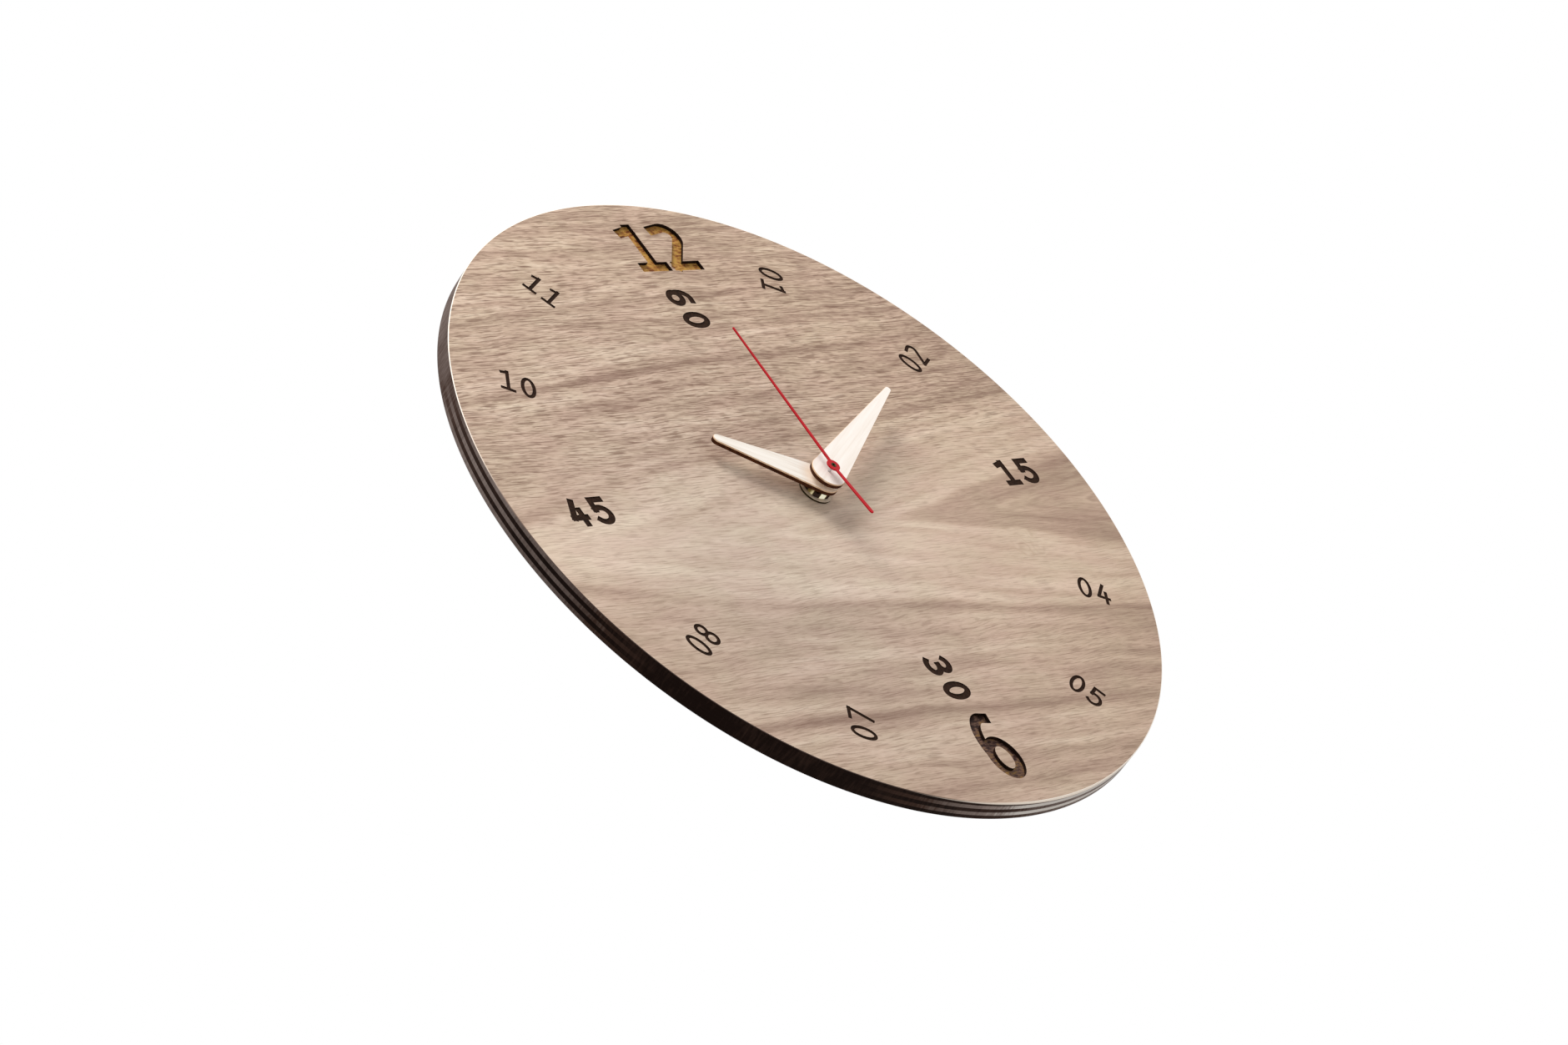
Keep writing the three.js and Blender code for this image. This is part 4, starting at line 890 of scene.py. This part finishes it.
def second_arm(length, root_width, end_width, rise, flip=False):
    """A flat bar from the hub to its end that tapers and climbs evenly; its end is rounded off by
    drawing the last sections in along a quarter circle."""
    start = 2.2
    end_radius = end_width / 2
    run = np.linspace(start, length - end_radius, 30)
    cap = length - end_radius + end_radius * np.sin(np.linspace(0, np.pi / 2, 7)[1:] * 0.93)
    y = np.concatenate([run, cap])
    share = (y - start) / (length - start)
    half = (root_width + (end_width - root_width) * share) / 2
    beyond = np.clip((y - (length - end_radius)) / end_radius, 0, 1)
    half = half * np.sqrt(1 - beyond ** 2)
    bottom = DIAL_FACE + SECOND_TOP - SECOND_THICKNESS + rise * share
    section = eased([(-1, 0), (1, 0), (1, 1), (-1, 1)], 0.22, steps=3)
    x = -half[:, None] * section[:, 0]
    z = bottom[:, None] + section[:, 1] * SECOND_THICKNESS
    rings = np.stack([x, np.broadcast_to(y[:, None], x.shape), z], -1)
    if flip:
        rings = rings * [-1, -1, 1]
    return loft(rings)


def make_second_hand():
    """The enamelled hand, and the collet under it that is rolled over its hub."""
    bottom = DIAL_FACE + SECOND_TOP - SECOND_THICKNESS
    top = bottom + SECOND_THICKNESS
    hub = loft(turned(ring_section(0.8, SECOND_HUB, bottom, top, 0.14), 64), closed=True)
    arms = [second_arm(**SECOND_ARM), second_arm(**SECOND_TAIL, flip=True)]
    piece = new_piece("enamelled_second_hand", merged([hub, *arms]), [RED_ENAMEL])
    stands_for(piece, "second_hand")
    collet = [
        (0.53, bottom - 1.1), (0.85, bottom - 1.1), (0.95, bottom - 1.0), (0.95, bottom), (0.79, bottom),
        (0.79, top), (1.05, top), (1.0, top + 0.12), (0.6, top + 0.12), (0.53, top + 0.05),
    ]
    piece = new_piece("second_hand_collet", loft(turned(collet, 48), closed=True), [EYE_BRASS])
    stands_for(piece, "second_collet")


# Bush, nut, washer and gasket

def threaded_tube():
    """A tube whose outside is a screw: r = R - d (1 - cos(2 pi (z / pitch - t / 2 pi))) / 2 for the
    depth d, with the groove running out at both ends; the spigot in the case is plain and thinner."""
    pitch, depth, run_out, sides = 0.75, 0.36, 0.5, 72
    screw = np.arange(CASE_FRONT, BUSH_END, pitch / 10)
    heights = np.concatenate([[CASE_INSIDE, CASE_FRONT], screw, [BUSH_END]])
    turn = np.arange(sides) * 2 * np.pi / sides
    wave = 0.5 - 0.5 * np.cos(2 * np.pi * heights[:, None] / pitch - turn)
    share = np.clip(np.minimum(heights - HANGER_FRONT, BUSH_END - heights) / run_out, 0, 1)[:, None]
    radius = BUSH_RADIUS - depth * wave * share
    radius[:2] = SPIGOT_RADIUS
    bore = np.full(sides, BUSH_BORE)
    levels = np.vstack([radius, bore, bore])
    z = np.concatenate([heights, [BUSH_END, CASE_INSIDE]])
    z = np.broadcast_to(z[:, None], levels.shape)
    return loft(np.stack([levels * np.cos(turn), levels * np.sin(turn), z], -1), closed=True)


def hexagon_nut():
    """A hexagon turned down to a cone at both faces: at the angle t the flat lies at
    a / cos(t), and its edge drops by the tangent of 30 degrees times what lies outside the cone's
    circle."""
    bottom = DIAL_FACE + WASHER_THICKNESS
    top = bottom + NUT_THICKNESS
    sides = 144
    turn = np.arange(sides) * 2 * np.pi / sides
    flat = NUT_ACROSS_FLATS / 2
    reach = flat / np.cos((turn % (np.pi / 3)) - np.pi / 6)
    circle = flat * 0.97
    drop = np.maximum(reach - circle, 0) * math.tan(math.radians(30))
    turn = turn + NUT_TURN
    levels = [
        (BUSH_RADIUS + 0.05, bottom), (circle, bottom), (reach, bottom + drop), (reach, top - drop),
        (circle, top), (BUSH_RADIUS + 0.35, top), (BUSH_RADIUS + 0.05, top - 0.3),
    ]
    rings = [
        np.stack([radius * np.cos(turn), radius * np.sin(turn), np.broadcast_to(height, turn.shape)], -1)
        for radius, height in levels
    ]
    return loft(np.stack(rings), closed=True)


def make_hardware():
    bush = new_piece("threaded_bush_tube", threaded_tube(), [DARK_BRASS], sharp=50)
    stands_for(bush, "threaded_bush")
    nut = new_piece("hexagon_clamp_nut", hexagon_nut(), [NUT_BRASS], sharp=20)
    stands_for(nut, "clamp_nut")
    bore = BUSH_RADIUS + 0.05
    washer = ring_section(bore, WASHER_RADIUS, DIAL_FACE, DIAL_FACE + WASHER_THICKNESS, 0.18)
    washer = loft(turned(washer, 96), closed=True)
    edge = {level: 1 for level in range(5, 12)}
    washer = new_piece("flat_dial_washer", washer, [WASHER_BRASS, WASHER_EDGE], edge)
    stands_for(washer, "dial_washer")
    gasket = ring_section(bore, GASKET_RADIUS, HANGER_FRONT, BOARD_BACK, 0.2)
    gasket = new_piece("ribbed_gasket", loft(turned(gasket, 96), closed=True), [RUBBER])
    stands_for(gasket, "rubber_gasket")


# Cell

def make_cell():
    """An AA cell: film over a steel can, drawn in at both ends, with a nub at the + end."""
    left, right, radius = -25.25, 24.25, CELL_RADIUS
    profile = [
        (0.3, left), (5.2, left), (5.4, left + 0.15), (6.3, left + 0.15), (radius - 0.2, left + 0.3),
        (radius, left + 0.7), (radius, left + 6.0), (radius, right - 9.0), (radius, right - 0.8),
        (radius - 0.15, right - 0.35), (6.4, right - 0.1), (5.2, right - 0.15), (3.2, right - 0.02),
        (2.7, right), (2.7, right + 0.75), (2.5, right + 0.95), (2.2, right + 1.0), (0.3, right + 1.0),
    ]
    rings = turned(profile, 96, centre=CELL_CENTRE, along_x=True)
    film = {level: 1 for level in range(3, 7)}
    band = {level: 2 for level in range(7, 11)}
    piece = new_piece("battery_cell", loft(rings), [NICKEL, CELL_FILM, CELL_BAND], film | band)
    stands_for(piece, "dry_cell")


# Movement: the solids' own shapes with their edges eased, and the solids themselves inside

def eased_copy(name, node, material, width_mm):
    """The solid with its doubles merged, its flat faces made whole and its edges rounded."""
    work = bmesh.new()
    work.from_mesh(frame["nodes"][node].data)
    bmesh.ops.remove_doubles(work, verts=work.verts, dist=1e-6)
    bmesh.ops.dissolve_limit(work, angle_limit=math.radians(1), verts=work.verts, edges=work.edges)
    mesh = bpy.data.meshes.new(name)
    work.to_mesh(mesh)
    work.free()
    mesh.materials.append(material)
    piece = bpy.data.objects.new(name, mesh)
    bpy.context.scene.collection.objects.link(piece)
    bevel = piece.modifiers.new("eased edges", "BEVEL")
    bevel.width = width_mm / 1000
    bevel.segments = 2
    bevel.limit_method = "ANGLE"
    bevel.angle_limit = math.radians(40)
    apply_modifiers(piece)
    smooth(piece.data, 35)
    stands_for(piece, node)


def make_movement():
    eased_copy("moulded_case", "movement_case", BLACK_ABS, 0.25)
    eased_copy("moulded_rear_cover", "rear_cover", BLACK_ABS, 0.15)
    eased_copy("pressed_hanger", "hanger_plate", ZINC, 0.12)
    eased_copy("moulded_setting_knob", "setting_knob", WHITE_ACETAL, 0.08)
    for material, nodes in (
        (WHITE_ACETAL, ["wheel_bridge", "coil_bobbin", "rotor_pinion"]),
        (WHITE_ACETAL, ["intermediate_wheel", "third_wheel", "motion_wheel"]),
        (CLEAR_STYRENE, ["second_wheel", "centre_wheel"]),
        (BLACK_ABS, ["hour_wheel"]),
        (NICKEL, ["positive_contact", "negative_contact", "quartz_crystal"]),
        (SOLDER_MASK, ["circuit_board"]),
        (ZINC, ["stator_core"]),
        (COPPER, ["coil_winding"]),
        (FERRITE, ["rotor_magnet"]),
        (ARBOR_STEEL, ["second_arbor"]),
        (BRASS, ["minute_cannon"]),
    ):
        for node in nodes:
            for slot in frame["nodes"][node].material_slots:
                slot.material = material


# Floor, light and camera

def placed(right, up, back, place):
    """The matrix of a lamp or camera from its three axes and its place."""
    return Matrix([*zip(right, up, back, place), (0, 0, 0, 1)])


def make_stage():
    floor = bpy.data.meshes.new("pale_floor")
    reach, level = 6.0, -1.25
    corners = [(x * reach, y * reach, level) for x, y in ((-1, -1), (1, -1), (1, 1), (-1, 1))]
    floor.from_pydata(corners, [], [(0, 1, 2, 3)])
    material, tree, _ = finish_of("pale_matt_floor", 0.9)
    tree.nodes["Principled BSDF"].inputs["Base Color"].default_value = to_linear("#f2f1ef")
    floor.materials.append(material)
    floor = bpy.data.objects.new("pale_floor", floor)
    bpy.context.scene.collection.objects.link(floor)

    world = bpy.data.worlds.new("soft_white_room")
    bpy.context.scene.world = world
    world.use_nodes = True
    tree = world.node_tree
    # White where the room is seen, mirrored or looked through to, and dimmer where it only lights
    seen = 0.0
    for ray in ("Is Camera Ray", "Is Glossy Ray", "Is Transmission Ray"):
        path = add(tree, "ShaderNodeLightPath", out=ray)
        seen = add(tree, MATH, [seen, path], operation="MAXIMUM")
    strength = add(tree, MAP_RANGE, {"Value": seen, "To Min": 0.56})
    background = tree.nodes["Background"]
    background.inputs["Color"].default_value = (1.0, 1.0, 1.0, 1.0)
    tree.links.new(strength, background.inputs["Strength"])

    light = bpy.data.lights.new("large_soft_lamp", "AREA")
    light.shape = "DISK"
    light.size = 1.1
    light.energy = 49.0
    lamp = bpy.data.objects.new("large_soft_lamp", light)
    away = np.array([-0.15, -0.5, 0.87])
    away /= np.linalg.norm(away)
    across = np.cross([0.0, 1.0, 0.0], away)
    across /= np.linalg.norm(across)
    lamp.matrix_world = placed(across, np.cross(away, across), away, away * 2.2)
    bpy.context.scene.collection.objects.link(lamp)


def make_camera():
    """The photo's camera, solved from the rim, the edge and the places of the numbers."""
    data = bpy.data.cameras.new("camera")
    data.sensor_width = 36.0
    data.lens = 105.33
    data.clip_start = 0.05
    camera = bpy.data.objects.new("camera", data)
    right = (0.6768, -0.50108, -0.53931)
    up = (0.06793, -0.68696, 0.72351)
    back = (-0.73302, -0.52631, -0.4309)
    place = (-1.23178, -0.89114, -0.72149)
    camera.matrix_world = placed(right, up, back, place)
    bpy.context.scene.collection.objects.link(camera)
    bpy.context.scene.camera = camera


make_board()
make_wood_hand("wooden_hour_hand", "hour_hand", HOUR_HAND, HOUR_WOOD)
make_wood_hand("wooden_minute_hand", "minute_hand", MINUTE_HAND, MINUTE_WOOD)
make_second_hand()
make_hardware()
make_cell()
make_movement()
make_stage()
make_camera()
bpy.context.scene.view_settings.view_transform = "Standard"
